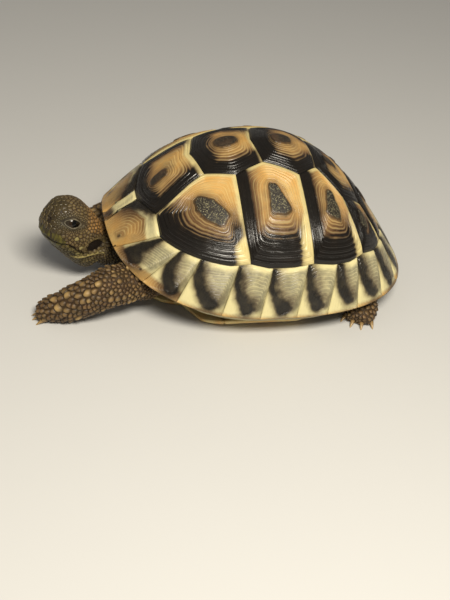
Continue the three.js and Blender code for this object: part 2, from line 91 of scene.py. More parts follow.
# Seams of the dome that end on the ring, in degrees, and on the midline, as a share of the way to the rim.
RING_CORNER = {"v1c1": 25, "c1c2": 78, "c2c3": 106.5, "c3c4": 132.5, "c4v5": 152}
MIDLINE = {"v1v2": -0.354, "v2v3": -0.047, "v3v4": 0.275, "v4v5": 0.57}
# The middle of each scute's growth on the disc, then half its areola's size along and across, its tilt
# in degrees from straight back towards the crown, and its taper: 0 for an oval, above 0 for a wedge.
AREOLA = {
    "v1": (0.045, -0.53, 3.0, 2.3, 0, 0), "v2": (0, -0.165, 3.8, 3.2, 0, 0), "v3": (0, 0.1, 3.4, 3.0, 0, 0),
    "v4": (0, 0.4, 3.0, 2.6, 0, 0), "v5": (0, 0.67, 3.0, 3.0, 0, 0),
    "c1": (0.405, -0.3, 6.2, 2.7, -60, 0.1), "c2": (0.415, 0.025, 4.6, 2.5, -90, 0.42),
    "c3": (0.362, 0.32, 4.2, 2.1, -92, 0.42), "c4": (0.34, 0.53, 3.2, 1.8, -90, 0.3),
}
PLAIN_AREOLA = (3.0, 3.0, 0, 0)
PLATE_THICKNESS = 1.2
BELLY_THICKNESS = 1.4
BELLY_RELIEF = 0.5  # depth of the plastron's growth rings, as a share of the dome's
DISC_MM = 40  # millimetres to one unit of the disc, for noise laid out on it

# The plastron is flat between these places and curves up beyond them.
FLAT = {"front": -24, "rear": 20, "half_width": 26}
CURVE = {"front": 0.005, "rear": 0.008, "side": 0.045}
PLASTRON = {
    "gular": [(0, -41.5), (6.5, -44), (12.5, -39.5), (0, -34)],
    "humeral": [(0, -34), (12.5, -39.5), (17.5, -33), (19.5, -26.5), (0, -24)],
    "pectoral": [(0, -24), (19.5, -26.5), (29.5, -21), (34, -15), (18, -17), (0, -17.5)],
    "abdominal": [(0, -17.5), (18, -17), (34, -15), (34.6, 9), (30, 14.5), (20, 17.5), (0, 9.5)],
    "femoral": [(0, 9.5), (20, 17.5), (19.5, 23), (17.5, 28), (0, 21.5)],
    "anal": [(0, 21.5), (17.5, 28), (13.5, 34), (8, 38), (0, 34)],
}

# ---------------------------------------------------------------- marks on the horn

FAR = 99.0  # stands for the distance to an edge that a scute doesn't have
# Width of the black along each edge of a scute and of the pale seam at its rear.
VERTEBRAL_MARKS = [
    {"front": 5.6, "side": 4.8, "pale": 1.5},
    {"front": 6.2, "side": 5.2, "pale": 0.7},
    {"front": 6.4, "side": 5.2, "pale": 0.6},
    {"front": 6.4, "side": 5.0, "pale": 0.5},
    {"front": 5.6, "side": 4.6, "pale": 0.5},
]
# On a costal the black above the lower edge begins "from" this share of the way out, and stays "fore" off
# the edge to vertebral 1. The pale seam widens to "pale_low" over the "block" of shares of the way down a
# scute this "tall".
COSTAL_MARKS = [
    {"front": 0.0, "low": 12.5, "from": 0.52, "pale": 1.0, "pale_low": 4.4, "fore": 0.9, "tall": 24,
     "block": (0.6, 0.78)},
    {"front": 4.0, "low": 10.5, "from": 0.45, "pale": 1.3, "pale_low": 4.0, "fore": FAR, "tall": 22,
     "block": (0.2, 0.6)},
    {"front": 4.2, "low": 9.5, "from": 0.45, "pale": 0.9, "pale_low": 3.6, "fore": FAR, "tall": 19,
     "block": (0.2, 0.6)},
    {"front": 5.2, "low": 8.0, "from": 0.45, "pale": 0.5, "pale_low": 2.6, "fore": FAR, "tall": 14,
     "block": (0.2, 0.6)},
]
# On a marginal the black runs from the top front corner to the growth centre near the rim:
# [share back, share up, half its width], and how high the tan reaches from the rim.
MARGINAL_MARKS = [
    ([(0.02, 0.7, 2.9), (0.2, 0.88, 3.3), (0.5, 0.97, 2.4)], 0.72),
    ([(0.2, 0.94, 2.0), (0.22, 0.6, 3.0), (0.28, 0.34, 3.2), (0.5, 0.24, 2.4)], 0.24),
    ([(0.12, 0.97, 1.6), (0.2, 0.62, 2.5), (0.44, 0.38, 2.4), (0.7, 0.22, 2.7)], 0.22),
    ([(0.09, 0.97, 1.5), (0.16, 0.62, 2.1), (0.4, 0.36, 2.2), (0.66, 0.2, 2.7)], 0.07),
    ([(0.08, 0.95, 1.2), (0.12, 0.62, 1.5), (0.3, 0.38, 1.7), (0.58, 0.2, 2.7)], 0.06),
    ([(0.07, 0.95, 1.1), (0.12, 0.6, 1.5), (0.32, 0.38, 1.7), (0.55, 0.21, 2.8)], 0.05),
    ([(0.08, 0.96, 1.3), (0.16, 0.65, 1.7), (0.33, 0.38, 1.8), (0.56, 0.22, 2.5)], 0.05),
    ([(0.14, 0.97, 1.9), (0.22, 0.65, 2.3), (0.4, 0.4, 2.2), (0.6, 0.24, 2.1)], 0.05),
    ([(0.12, 0.97, 2.0), (0.22, 0.6, 2.4), (0.4, 0.3, 2.1), (0.6, 0.2, 2.0)], 0.08),
    ([(0.15, 0.97, 2.3), (0.3, 0.5, 2.4), (0.5, 0.2, 2.1)], 0.1),
    ([(0.12, 0.97, 2.2), (0.25, 0.5, 2.5), (0.5, 0.2, 2.1)], 0.12),
    ([(0.15, 0.97, 2.3), (0.3, 0.55, 2.8), (0.5, 0.25, 2.3)], 0.12),
]
NUCHAL_MARKS = ([(0.5, 0.2, 0.3), (0.5, 0.1, 0.3)], 0.3)

# ---------------------------------------------------------------- curves, noise and the dome


def smoothstep(low, high, value):
    """0 at low, 1 at high and smooth between."""
    share = np.clip((np.asarray(value, float) - low) / (high - low), 0, 1)
    return share * share * (3 - 2 * share)


def unit(vectors):
    """The vectors at length 1."""
    return vectors / np.maximum(np.linalg.norm(vectors, axis=-1, keepdims=True), 1e-9)


def ripple(places, size, seed, waves=9):
    """Smooth noise about 0 at each place, with bumps of about this size."""
    rng = np.random.default_rng(seed)
    directions = rng.normal(size=(waves, places.shape[-1]))
    directions /= np.linalg.norm(directions, axis=1)[:, None]
    pace = 2 * np.pi / size * rng.uniform(0.6, 1.5, waves)
    phase = rng.uniform(0, 2 * np.pi, waves)
    return np.sin(places @ (directions * pace[:, None]).T + phase).mean(axis=-1) * 1.8


def through_levels(values, level):
    """A smooth curve through the values at LEVELS."""
    values = np.array(values, float)
    slope = np.empty(len(values))
    slope[1:-1] = (values[2:] - values[:-2]) / (LEVELS[2:] - LEVELS[:-2])
    slope[0] = 1.5 * (values[1] - values[0]) / (LEVELS[1] - LEVELS[0]) - 0.5 * slope[1]
    slope[-1] = 1.5 * (values[-1] - values[-2]) / (LEVELS[-1] - LEVELS[-2]) - 0.5 * slope[-2]
    i = np.clip(np.searchsorted(LEVELS, level, side="right") - 1, 0, len(LEVELS) - 2)
    width = LEVELS[i + 1] - LEVELS[i]
    t = np.clip((level - LEVELS[i]) / width, 0, 1)
    a = t * t * (3 - 2 * t)
    bend = width * t * (1 - t) * ((1 - t) * slope[i] - t * slope[i + 1])
    return (1 - a) * values[i] + a * values[i + 1] + bend


def round_the_body(angle, front, side, rear, squareness=1.0):
    """Places round the animal from [out, up] at the front, side and rear."""
    c, s = np.cos(angle), np.sin(angle)
    corner = (np.abs(c) ** BOXINESS + np.abs(s) ** BOXINESS) ** (-1 / BOXINESS)
    reach = 1 + (corner - 1) * squareness
    out, up = (np.where(c > 0, front[i], rear[i]) for i in (0, 1))
    return np.stack([side[0] * s * reach, CROWN_Y - out * c * reach, up * c * c + side[1] * s * s], axis=-1)


def dome_at(angle, level):
    """Places on the dome from the angle round it and the level."""
    profiles = [[through_levels(curve, level) for curve in profile] for profile in (FRONT, SIDE, REAR)]
    return round_the_body(angle, *profiles, np.minimum(1, (1 - level) / (1 - ROUND_FROM)))


def on_disc(degrees, level):
    """The dome laid out on a unit disc: [left, back], the crown in the middle and the rim at radius 1."""
    angle = np.radians(degrees)
    return np.stack([(1 - level) * np.sin(angle), -(1 - level) * np.cos(angle)], axis=-1)


def over_disc(disc):
    """Places on the dome from their places on the disc."""
    return dome_at(np.arctan2(disc[..., 0], -disc[..., 1]), 1 - np.hypot(disc[..., 0], disc[..., 1]))


def dome_surface(disc, height=0.0):
    """Places at a height above the dome."""
    disc = np.asarray(disc, float)
    step = 1e-3
    left, back = np.array([step, 0]), np.array([0, step])
    across = over_disc(disc + left) - over_disc(disc - left)
    along = over_disc(disc + back) - over_disc(disc - back)
    outward = np.cross(across, along)
    outward /= np.linalg.norm(outward, axis=-1)[..., None]
    return over_disc(disc) + outward * np.asarray(height, float)[..., None]


def plastron_surface(plan, height=0.0):
    """Places on the plastron from their places in plan. Heights above 0 are left out, so it stays flat."""
    plan = np.asarray(plan, float)
    left, back = plan[..., 0], plan[..., 1]
    rise = CURVE["front"] * np.maximum(0, FLAT["front"] - back) ** 2
    rise = rise + CURVE["rear"] * np.maximum(0, back - FLAT["rear"]) ** 2
    rise = rise + CURVE["side"] * np.maximum(0, np.abs(left) - FLAT["half_width"]) ** 2
    return np.stack([left, back, rise - np.minimum(0, height)], axis=-1)


def ring_top(degrees):
    """The level of the marginal ring's top edge, which rises to a point between two scutes of the dome."""
    d = np.abs(np.asarray(degrees, float))
    top = np.full_like(d, RING_TOP)
    for peak, rise, before, after in RING_PEAKS:
        away = np.where(d < peak, (peak - d) / before, (d - peak) / after)
        top = top + rise * np.maximum(0, 1 - away)
    return top


# ---------------------------------------------------------------- meshes


def grid_faces(rows, columns, closed):
    """Quads between rows of points, closed round where the last column meets the first."""
    row = np.arange(rows - 1)[:, None] * columns
    column = np.arange(columns if closed else columns - 1)[None, :]
    following = (column + 1) % columns
    quads = [row + column, row + following, row + columns + following, row + columns + column]
    return (np.stack(np.broadcast_arrays(*quads), axis=-1).reshape(-1, 4)).tolist()


def fan_faces(start, count, middle, reverse=False):
    """Triangles from a closed row of points to one in its middle."""
    faces = [[start + i, start + (i + 1) % count, middle] for i in range(count)]
    return [face[::-1] for face in faces] if reverse else faces


def signed_volume(places, faces):
    """Six times the volume inside the faces, below 0 where they face inwards."""
    corners = [(places[f[0]], places[f[i]], places[f[i + 1]]) for f in faces for i in range(1, len(f) - 1)]
    a, b, c = (np.array([t[i] for t in corners]) for i in range(3))
    return np.einsum("ij,ij->", a, np.cross(b, c))


def mesh_piece(name, places, faces, finish, fields, stands_for=()):
    """A piece of the tortoise from places in millimetres, riding on the body."""
    places = np.asarray(places, float)
    if signed_volume(places - places.mean(axis=0), faces) < 0:
        faces = [face[::-1] for face in faces]
    mesh = bpy.data.meshes.new(name)
    mesh.from_pydata(((places + [0, ORIGIN_Y, 0]) * MM).tolist(), [], faces)
    mesh.shade_smooth()
    for field, values in fields.items():
        layer = mesh.attributes.new(field, "FLOAT", "POINT")
        layer.data.foreach_set("value", np.asarray(values, np.float32).ravel())
    mesh.materials.append(bpy.data.materials[finish])
    piece = bpy.data.objects.new(name, mesh)
    bpy.context.scene.collection.objects.link(piece)
    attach(piece, BODY)
    if stands_for:
        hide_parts(*stands_for)
    return piece


def distance_to(places, line):
    """From each place to a line through points."""
    nearest = np.full(len(places), FAR)
    for a, b in zip(line[:-1], line[1:]):
        along = b - a
        share = np.clip((places - a) @ along / max(along @ along, 1e-9), 0, 1)
        nearest = np.minimum(nearest, np.linalg.norm(places - a - share[:, None] * along, axis=1))
    return nearest


# ---------------------------------------------------------------- scutes of the dome and the plastron

RING_SPREAD = 1.25  # above 1, the rings widen towards the seam
RIDGE_STEPS = (0.0, 0.1, 0.28, 0.52, 0.76, 0.92)  # places across one growth ring that get a row of points
AREOLA_SHARE = 0.3  # the rows of a scute's mesh up to this share lie on its areola
AREOLA_RISE = 0.34
SEAM_DROP = 0.42  # how far a scute's edge lies below its face
COLUMN = 0.8  # width of a scute's mesh along its outline
SEAM_GAP = 0.06
CORNER_POINTS = 2.4  # a growth ring's corners are rounded over this many points


def ring_line(start, end):
    """Points along the marginal ring's top edge, its peaks included."""
    peaks = [peak for peak, *_ in RING_PEAKS if min(start, end) < peak < max(start, end)]
    even = np.linspace(start, end, max(2, round(abs(end - start) / 1.6)))
    degrees = np.array(sorted({*even.tolist(), *peaks}, reverse=end < start))
    return on_disc(degrees, ring_top(degrees))


def corners(*names):
    """Points on the disc by the names of the seams that meet there."""
    found = []
    for name in names:
        if name in CORNER:
            found.append(on_disc(*CORNER[name]))
        elif name in RING_CORNER:
            found.append(on_disc(RING_CORNER[name], ring_top(RING_CORNER[name])))
        else:
            found.append(np.array([0, MIDLINE[name]]))
    return np.array(found)


def vertebral_edges():
    """For each vertebral, its labelled edges on the left from the front of the midline to the rear."""
    chains = [
        [("front", ring_line(0, 25)), ("side", corners("v1c1", "v1v2c1")),
         ("rear", corners("v1v2c1", "v1v2"))],
        [("front", corners("v1v2", "v1v2c1")), ("side", corners("v1v2c1", "v2c1c2", "v2v3c2")),
         ("rear", corners("v2v3c2", "v2v3"))],
        [("front", corners("v2v3", "v2v3c2")), ("side", corners("v2v3c2", "v3c2c3", "v3v4c3")),
         ("rear", corners("v3v4c3", "v3v4"))],
        [("front", corners("v3v4", "v3v4c3")), ("side", corners("v3v4c3", "v4c3c4", "v4v5c4")),
         ("rear", corners("v4v5c4", "v4v5"))],
        [("front", corners("v4v5", "v4v5c4")), ("side", corners("v4v5c4", "c4v5")),
         ("rear", ring_line(152, 180))],
    ]
    return [left + [(label, line[::-1] * [-1, 1]) for label, line in reversed(left)] for left in chains]


def costal_edges():
    """For each costal on the left, its labelled edges all round."""
    return [
        [("low", ring_line(78, 25)), ("fore", corners("v1c1", "v1v2c1")),
         ("top", corners("v1v2c1", "v2c1c2")), ("rear", corners("v2c1c2", "c1c2"))],
        [("low", ring_line(106.5, 78)), ("front", corners("c1c2", "v2c1c2")),
         ("top", corners("v2c1c2", "v2v3c2", "v3c2c3")), ("rear", corners("v3c2c3", "c2c3"))],
        [("low", ring_line(132.5, 106.5)), ("front", corners("c2c3", "v3c2c3")),
         ("top", corners("v3c2c3", "v3v4c3", "v4c3c4")), ("rear", corners("v4c3c4", "c3c4"))],
        [("low", ring_line(152, 132.5)), ("front", corners("c3c4", "v4c3c4")),
         ("top", corners("v4c3c4", "v4v5c4")), ("rear", corners("v4v5c4", "c4v5"))],
    ]


def outline_of(edges, surface, spacing):
    """A closed outline from its edges, divided evenly, with every corner kept."""
    found = []
    for _, line in edges:
        for a, b in zip(line[:-1], line[1:]):
            parts = max(1, round(float(np.linalg.norm(surface(a) - surface(b))) / spacing))
            found.extend(a + (b - a) * k / parts for k in range(parts))
    return np.array(found)


def rounded(outline, points):
    """The outline with its corners rounded over this many points."""
    count = len(outline)
    away = np.minimum(np.arange(count), count - np.arange(count))
    weight = np.exp(-0.5 * (away / points) ** 2)
    spectrum = np.fft.fft(weight / weight.sum())[:, None]
    return np.real(np.fft.ifft(np.fft.fft(outline, axis=0) * spectrum, axis=0))


def ring_rows(rings, rng):
    """Each row of a scute from its middle out: [share of the way, height on its ridge, ring number]."""
    areola = [(AREOLA_SHARE * k / 9, 1.0, 0.0) for k in range(1, 9)]
    ages = np.arange(rings + 1) + np.concatenate([[0], rng.uniform(-0.25, 0.25, rings - 1), [0]])
    bounds = AREOLA_SHARE + (1 - AREOLA_SHARE) * (ages / rings) ** RING_SPREAD
    ridges = [
        (bounds[k] + (bounds[k + 1] - bounds[k]) * x, math.sin(math.pi * x) ** 0.55 if x else 0.0, k + x)
        for k in range(rings) for x in RIDGE_STEPS
    ]
    return np.array(areola + ridges + [(1.0, 0.0, float(rings))])


def areola_share(surface, middle, outline, along, across, tilt, taper):
    """The share of the way to each outline point at which the areola round the middle ends."""
    spoke = surface(outline) - surface(middle)
    back = surface(middle + [0, 0.01]) - surface(middle)
    inward = surface(middle + [-0.01, 0]) - surface(middle)
    reach = np.linalg.norm(spoke, axis=1)
    turn = np.arctan2(spoke @ unit(inward), spoke @ unit(back)) - math.radians(tilt)
    boxy = 2.4 + 9 * taper
    ends = np.abs(np.cos(turn)) / along
    skewed = np.abs(np.sin(turn) - 0.7 * taper * np.cos(turn))
    sides = np.maximum(0.02, skewed / across - taper * np.cos(turn) / along)
    return np.clip((ends ** boxy + sides ** boxy) ** (-1 / boxy) / reach, 0.08, 0.62)[None, :]


def scute(name, edges, middle, marks, relief, seed, *, surface=dome_surface, rings=10, spacing=COLUMN,
          thickness=PLATE_THICKNESS, mirror=False, finish="shell horn",
          areola=PLAIN_AREOLA):
    """A plate of horn over a surface: areola, growth rings, shoulders and seam, closed below."""
    rng = np.random.default_rng(seed)
    middle = np.array(middle, float)
    outline = outline_of(edges, surface, spacing)
    inner = rounded(outline, CORNER_POINTS)
    rows = ring_rows(rings, rng)
    share, ridge, number = (rows[:, i][:, None] for i in range(3))
    reach = np.linalg.norm(surface(outline) - surface(middle), axis=1)[None, :]
    round_it = np.stack(circle(len(outline)), axis=-1)
    loose = share * (1 - share) * 4
    waves = enumerate((1.6, 0.5))
    wander = sum(ripple(round_it, size, seed + k)[None, :] * loose * 0.005 for k, size in waves)
    core = areola_share(surface, middle, outline, *areola)
    grown_share = (share - AREOLA_SHARE) / (1 - AREOLA_SHARE)
    stretched = np.where(grown_share < 0, share / AREOLA_SHARE * core, core + grown_share * (1 - core))
    travel = np.minimum(1, stretched + wander) * (1 - SEAM_GAP / reach)
    shape = inner[None] + (outline - inner)[None] * (share ** 5)[..., None]
    plan = middle + (shape - middle) * travel[..., None]

    strength = np.interp(np.floor(number), np.arange(rings + 1), rng.uniform(0.45, 1.25, rings + 1))
    width = np.gradient(share[:, 0])[:, None] * 6 * reach
    seam = (1 - share) * reach
    height = -SEAM_DROP * np.exp(-(seam / 0.55) ** 2) - 0.12 * np.exp(-seam / 2.2)
    raised = 1 - smoothstep(AREOLA_SHARE - 0.01, AREOLA_SHARE + 0.03, share)
    height = height + AREOLA_RISE * relief * raised
    height = height + 0.1 * (1 - share) + 0.03 * ripple(plan * DISC_MM, 3.0, seed + 5)
    grown = share > AREOLA_SHARE
    depth = relief * np.minimum(0.5, 0.31 * width) * strength * smoothstep(0, 0.5, seam)
    height = height - np.where(grown, depth * (1 - ridge), 0)
    grains = ripple(plan * DISC_MM, 0.55, seed + 6, waves=24)
    height = height + np.where(grown, 0, 0.05 * relief * grains * smoothstep(AREOLA_SHARE, 0.22, share))

    outer = surface(plan, height)
    wall = surface(plan[-1], np.full(len(outline), -thickness - 0.25))
    under = surface(middle + (plan[-1] - middle) * 0.5, np.full(len(outline), -thickness))
    rings_of_points = np.concatenate([outer, wall[None], under[None]])
    count = len(outline)
    ends = [surface(middle, 0.3 if surface is dome_surface else 0.0), surface(middle, -thickness)]
    places = np.concatenate([rings_of_points.reshape(-1, 3), ends])
    total = len(rings_of_points)
    faces = grid_faces(total, count, True) + fan_faces(0, count, total * count, reverse=True)
    faces += fan_faces((total - 1) * count, count, total * count + 1)

    edge = {label: np.full(len(places), FAR) for label in ("front", "side", "rear", "low", "fore", "top")}
    for label, line in edges:
        dense = [surface(a + (b - a) * k / 3) for a, b in zip(line[:-1], line[1:]) for k in range(3)]
        edge[label] = np.minimum(edge[label], distance_to(places, np.array([*dense, surface(line[-1])])))
    beyond = 2 * count  # the wall's and the underside's points

    def everywhere(values):
        """Values on the outer face carried on to the wall, the underside and both middles."""
        grid = np.broadcast_to(values, outer.shape[:2])
        return np.concatenate([grid.ravel(), np.full(beyond, grid[-1, 0]), [grid[0, 0], grid[-1, 0]]])

    share_of = everywhere(share)
    fields = marks(edge, share_of)
    fields["areola"] = (AREOLA_SHARE - 0.015 - share_of) * float(reach.mean()) * 0.9
    fields["ring"] = everywhere(number)
    fields["speckled"] = np.full(len(places), 1.0 if areola[3] > 0 else 0.25)
    if mirror:
        places = places * [-1, 1, 1]
    return mesh_piece(name, places, faces, finish, fields, (name,))


def vertebral_fields(mark):
    """What works out a vertebral's pigment from the distances to its edges."""
    def fields(edge, share):
        dark = np.maximum(mark["front"] - edge["front"], mark["side"] - edge["side"])
        pale = mark["pale"] - edge["rear"]
        before_pale = edge["rear"] - mark["pale"]
        dark = np.minimum(dark, before_pale)
        return {"dark": dark, "pale": pale, "green": pale * 0, "ringed": smoothstep(0.5, 2.5, before_pale)}
    return fields


def costal_fields(mark):
    """What works out a costal's pigment from the distances to its edges and the share of the way out."""
    def fields(edge, share):
        lower = 1 - np.clip(edge["low"] / mark["tall"], 0, 1)
        pale_width = mark["pale"] + (mark["pale_low"] - mark["pale"]) * smoothstep(*mark["block"], lower)
        low_width = np.minimum(mark["low"], 3.0 + 0.85 * edge["fore"])
        low = np.minimum((low_width - edge["low"]) * 0.5, (share - mark["from"]) * 10)
        before_pale = edge["rear"] - pale_width
        kept_off = mark["fore"] if mark["fore"] < FAR else 0.0
        low = np.minimum(np.minimum(low, before_pale), edge["fore"] - kept_off)
        dark = np.maximum(mark["front"] - edge["front"], low) if mark["front"] else low
        pale = np.maximum(np.maximum(pale_width - edge["rear"], 0.9 - edge["top"]), 1.2 - edge["fore"])
        pale = np.minimum(pale, edge["front"] - mark["front"]) if mark["front"] else pale
        ringed = smoothstep(-1.0, 2.0, np.minimum(before_pale, edge["front"] - mark["front"] - 1.5))
        return {"dark": dark, "pale": pale, "green": pale * 0, "ringed": ringed}
    return fields


def belly_fields(edge, share):
    """Black over the middle of each belly scute, yellow along its edges and the midline."""
    return {"dark": np.minimum(np.minimum(edge["side"] - 2.4, edge["front"] - 1.6), 12 - edge["front"]),
            "pale": 1.2 - edge["side"]}


# ---------------------------------------------------------------- the marginal ring

MARGINAL_STEP = 0.32  # size of a marginal's mesh
UNDER_STEPS = 5  # rows of its mesh between one bend under the rim and the next
MARGINAL_CENTRE = (0.78, 0.16)  # where a marginal's growth began, as shares back and up
MARGINAL_RING = 0.95  # width of its growth rings
MARGINAL_RELIEF = 0.15
BEHIND = 0.42  # behind the band of a marginal the black fades this much more slowly than in front of it


def under_rim(degrees, lip, bridge):
    """Places under the rim, from how far in and how high they are over the limbs and at the bridge."""
    begins, whole, whole_to, ends = BRIDGE_SPAN
    d = np.abs(degrees)
    share = smoothstep(begins, whole, d) - smoothstep(whole_to, ends, d)
    rim = dome_at(np.radians(degrees), np.zeros_like(degrees))
    inward = np.stack([-rim[:, 0], CROWN_Y - rim[:, 1], np.zeros(len(rim))], axis=-1)
    inward /= np.linalg.norm(inward, axis=1)[:, None]
    move = [lip[i] + (bridge[i] - lip[i]) * share for i in (0, 1)]
    return rim + inward * move[0][:, None] + np.stack([share * 0, share * 0, move[1]], axis=-1)


def tapered(places, path):
    """How deep each place lies inside a band through [x, y, half width], in the same units."""
    depth = np.full(len(places), -FAR)
    for a, b in zip(path[:-1], path[1:]):
        start, along = np.array(a[:2]), np.array(b[:2]) - np.array(a[:2])
        share = np.clip((places - start) @ along / max(along @ along, 1e-9), 0, 1)
        offset = places - start - share[:, None] * along
        away = np.linalg.norm(offset, axis=1)
        behind = unit(offset) @ unit(np.array([-along[1], along[0]])) * (1 if along[1] < 0 else -1)
        inside = (a[2] + (b[2] - a[2]) * share - away) * (1 - (1 - BEHIND) * smoothstep(0, 1, behind))
        depth = np.maximum(depth, inside)
    return depth


def marginal(name, start, end, marks, relief, seed, mirror=False):
    """One plate of the ring between two seams, from its top edge down to the rim and back up inside."""
    reach = dome_at(np.radians([start[0], end[0]]), np.zeros(2))
    wide = float(np.linalg.norm(reach[0] - reach[1]))
    middle_top = (start[1] + end[1]) / 2
    over_it = dome_at(np.radians(middle_top), float(ring_top(middle_top)))
    tall = float(np.linalg.norm(over_it - reach.mean(axis=0)))
    columns = max(12, round(wide / MARGINAL_STEP))
    rows = round(tall / MARGINAL_STEP)
    inset = SEAM_GAP / wide
    back = np.linspace(inset, 1 - inset, columns + 1)
    up = np.linspace(1, 0, rows + 1)
    rim = start[0] + (end[0] - start[0]) * back
    top = start[1] + (end[1] - start[1]) * back
    top_level = ring_top(top) - RING_GAP * 0.4
    u, v = np.meshgrid(back, up)
    plan = on_disc(rim + (top - rim) * v, np.maximum(RING_GAP / 6, top_level * v))

    front_mm, rear_mm, low_mm, top_mm = u * wide, (1 - u) * wide, v * tall, (1 - v) * tall
    centre_u, centre_v = MARGINAL_CENTRE
    toward_front = np.clip((centre_u - u) / centre_u, 0, 1) * wide * centre_u
    toward_rear = np.clip((u - centre_u) / (1 - centre_u), 0, 1) * wide * centre_u
    toward_top = np.clip((v - centre_v) / (1 - centre_v), 0, 1) * tall * (1 - centre_v)
    toward_rim = np.clip((centre_v - v) / centre_v, 0, 1) * tall * 0.5
    sides = np.maximum(toward_front, toward_rear), np.maximum(toward_top, toward_rim)
    away = (sides[0] ** 4 + (sides[1] * wide / tall * 1.1) ** 4) ** 0.25
    number = away / MARGINAL_RING + 0.25 * ripple(plan * DISC_MM, 4.0, seed)
    groove = np.abs(np.sin(np.pi * number)) ** 0.5
    seam = np.minimum(np.minimum(front_mm, rear_mm), top_mm)
    height = -0.4 * np.exp(-(seam / 0.5) ** 2) - 0.1 * np.exp(-seam / 1.8)
    depth = MARGINAL_RELIEF * relief
    height = height - depth * (1 - groove) * smoothstep(0, 0.6, seam) * smoothstep(1.2, 2.4, away)
    uneven = 0.03 * ripple(plan * DISC_MM, 5.0, seed + 3)
    height = height + 0.16 * smoothstep(0, 0.5, v) * smoothstep(1, 0.4, v) + uneven
    outer = dome_surface(plan, height * smoothstep(-0.02, 0.08, v))

    turned = [under_rim(rim, lip, bridge) for lip, bridge in zip(LIP, BRIDGE)]
    stops = [outer[-1], *turned, dome_surface(plan[0], np.full(columns + 1, -SEAM_DROP - PLATE_THICKNESS))]
    under = []
    for a, b in zip(stops[:-1], stops[1:]):
        bend = 1.6 if a is stops[0] else 1  # rows lie closer together by the rim
        under += [a + (b - a) * (k / UNDER_STEPS) ** bend for k in range(1, UNDER_STEPS + 1)]
    sheet = np.concatenate([outer, np.array(under)])
    count = len(sheet)
    width = columns + 1
    index = np.arange(count * width).reshape(count, width)
    places = sheet.reshape(-1, 3)
    faces = grid_faces(count, width, False)
    faces += [[index[0, c + 1], index[0, c], index[-1, c], index[-1, c + 1]] for c in range(columns)]
    faces += [index[:, 0].tolist(), index[::-1, -1].tolist()]

    path_mm = [(a * wide, b * tall, half) for a, b, half in marks[0]]
    inside = np.stack([front_mm, low_mm], axis=-1).reshape(-1, 2)
    dark = tapered(inside, path_mm)
    tan = (marks[1] - v.ravel()) * tall
    pale = -tan
    band_back, band_up, _ = np.array(path_mm[::-1]).T
    behind_band = front_mm - np.interp(low_mm, band_up, band_back)
    green = np.minimum(np.minimum(top_mm - 1.2, rear_mm + 0.6), behind_band).ravel() * smoothstep(0, 3, pale)
    # Each field on the outer face, and its value under the rim.
    fields = {
        "dark": (dark, -3.0), "pale": (pale, 1.0), "green": (green, 1.0),
        "areola": ((0.3 - away).ravel(), -3.0), "ring": (number.ravel(), 0.0),
        "streaked": (dark * 0 + 1, 0.5),
    }
    below = len(places) - len(dark)
    fields = {field: np.concatenate([face, np.full(below, under)])
              for field, (face, under) in fields.items()}
    if mirror:
        places = places * [-1, 1, 1]
    return mesh_piece(name, places, faces, "shell horn", fields, (name,))


# ---------------------------------------------------------------- the body's measures

# The head in its own frame: [forward, half width, top, bottom, height of the widest place].
HEAD_MIDDLE = (0.5, -61, 21.7)
HEAD_YAW = 26
HEAD_PITCH = 26
HEAD_STATIONS = [
    (11.5, 2, 2.6, -1.5, 0.2), (11, 3.9, 5, -4.1, -0.2), (9.6, 5.4, 7.2, -6, -0.7),
    (7.2, 6.7, 8.6, -7.4, -1.1), (4.2, 7.8, 9.2, -8.8, -1.4), (0.6, 8.5, 8.8, -10.2, -1.8),
    (-3.2, 9, 7.2, -11.7, -2.4), (-6.6, 9, 5.2, -12.9, -3), (-9.2, 8.4, 3.2, -13.3, -3.4),
    (-10.8, 7.6, 2, -12.6, -3.6),
]
HEAD_FULLNESS = 0.82  # below 1, a cross-section of the head is fuller than an ellipse

# Neck, legs and tail: [left, back, height, half width, half height] along the way out of the shell.
LIMBS = {
    "neck": [
        (0, -34, 12, 8.6, 6.8), (-0.6, -41, 11.9, 9, 7), (-1.6, -46.6, 12.2, 9.2, 7.1),
        (-2.6, -51.6, 13, 9, 7), (-2.9, -56, 14, 8.4, 6.6),
    ],
    "foreleg_left": [
        (13, -29, 12, 7.2, 6.4), (18, -37, 12.2, 6.9, 6.6), (21.8, -44.5, 12.8, 6.6, 6.6),
        (24, -51, 12.6, 6.3, 6.5), (24.4, -57.5, 9.6, 5.9, 6), (23.4, -63.5, 6.2, 5.6, 5.4),
        (22.2, -68.4, 3.9, 5.2, 4.1), (21.4, -71.8, 2.8, 4.6, 3), (21, -73.4, 2.2, 3.4, 2.1),
    ],
    "foreleg_right": [
        (-12, -28, 11, 7, 5.8), (-18.5, -32.5, 10.4, 6.6, 5.6), (-24.5, -36.5, 9, 6.3, 5.2),
        (-29, -40.6, 7.4, 6, 5), (-31.4, -45, 5.6, 5.7, 4.6), (-31.8, -49, 3.9, 5.3, 3.8),
        (-31.4, -52.4, 2.8, 4.7, 2.9), (-31.1, -54.2, 2.2, 3.6, 2.1),
    ],
    "hindleg_left": [
        (12, 20, 10.2, 7, 6.2), (18, 26, 8.6, 6.8, 5.4), (23.6, 30.6, 6, 6.4, 4.5),
        (28, 32.2, 4.4, 6, 4.1), (31.8, 31.2, 3.2, 5.4, 3.4), (34.2, 30, 2.4, 4, 2.4),
    ],
    "tail": [
        (0, 32, 9.6, 4.4, 3.4), (0.4, 37.6, 8.2, 4, 3.1), (1.4, 42.2, 6.2, 3.1, 2.6),
        (3, 45.4, 4.3, 2.1, 1.9), (4.6, 47.4, 3, 1.2, 1.2), (5.4, 48.2, 2.4, 0.5, 0.5),
    ],
}
LIMBS["hindleg_right"] = [(-left, *rest) for left, *rest in LIMBS["hindleg_left"]]

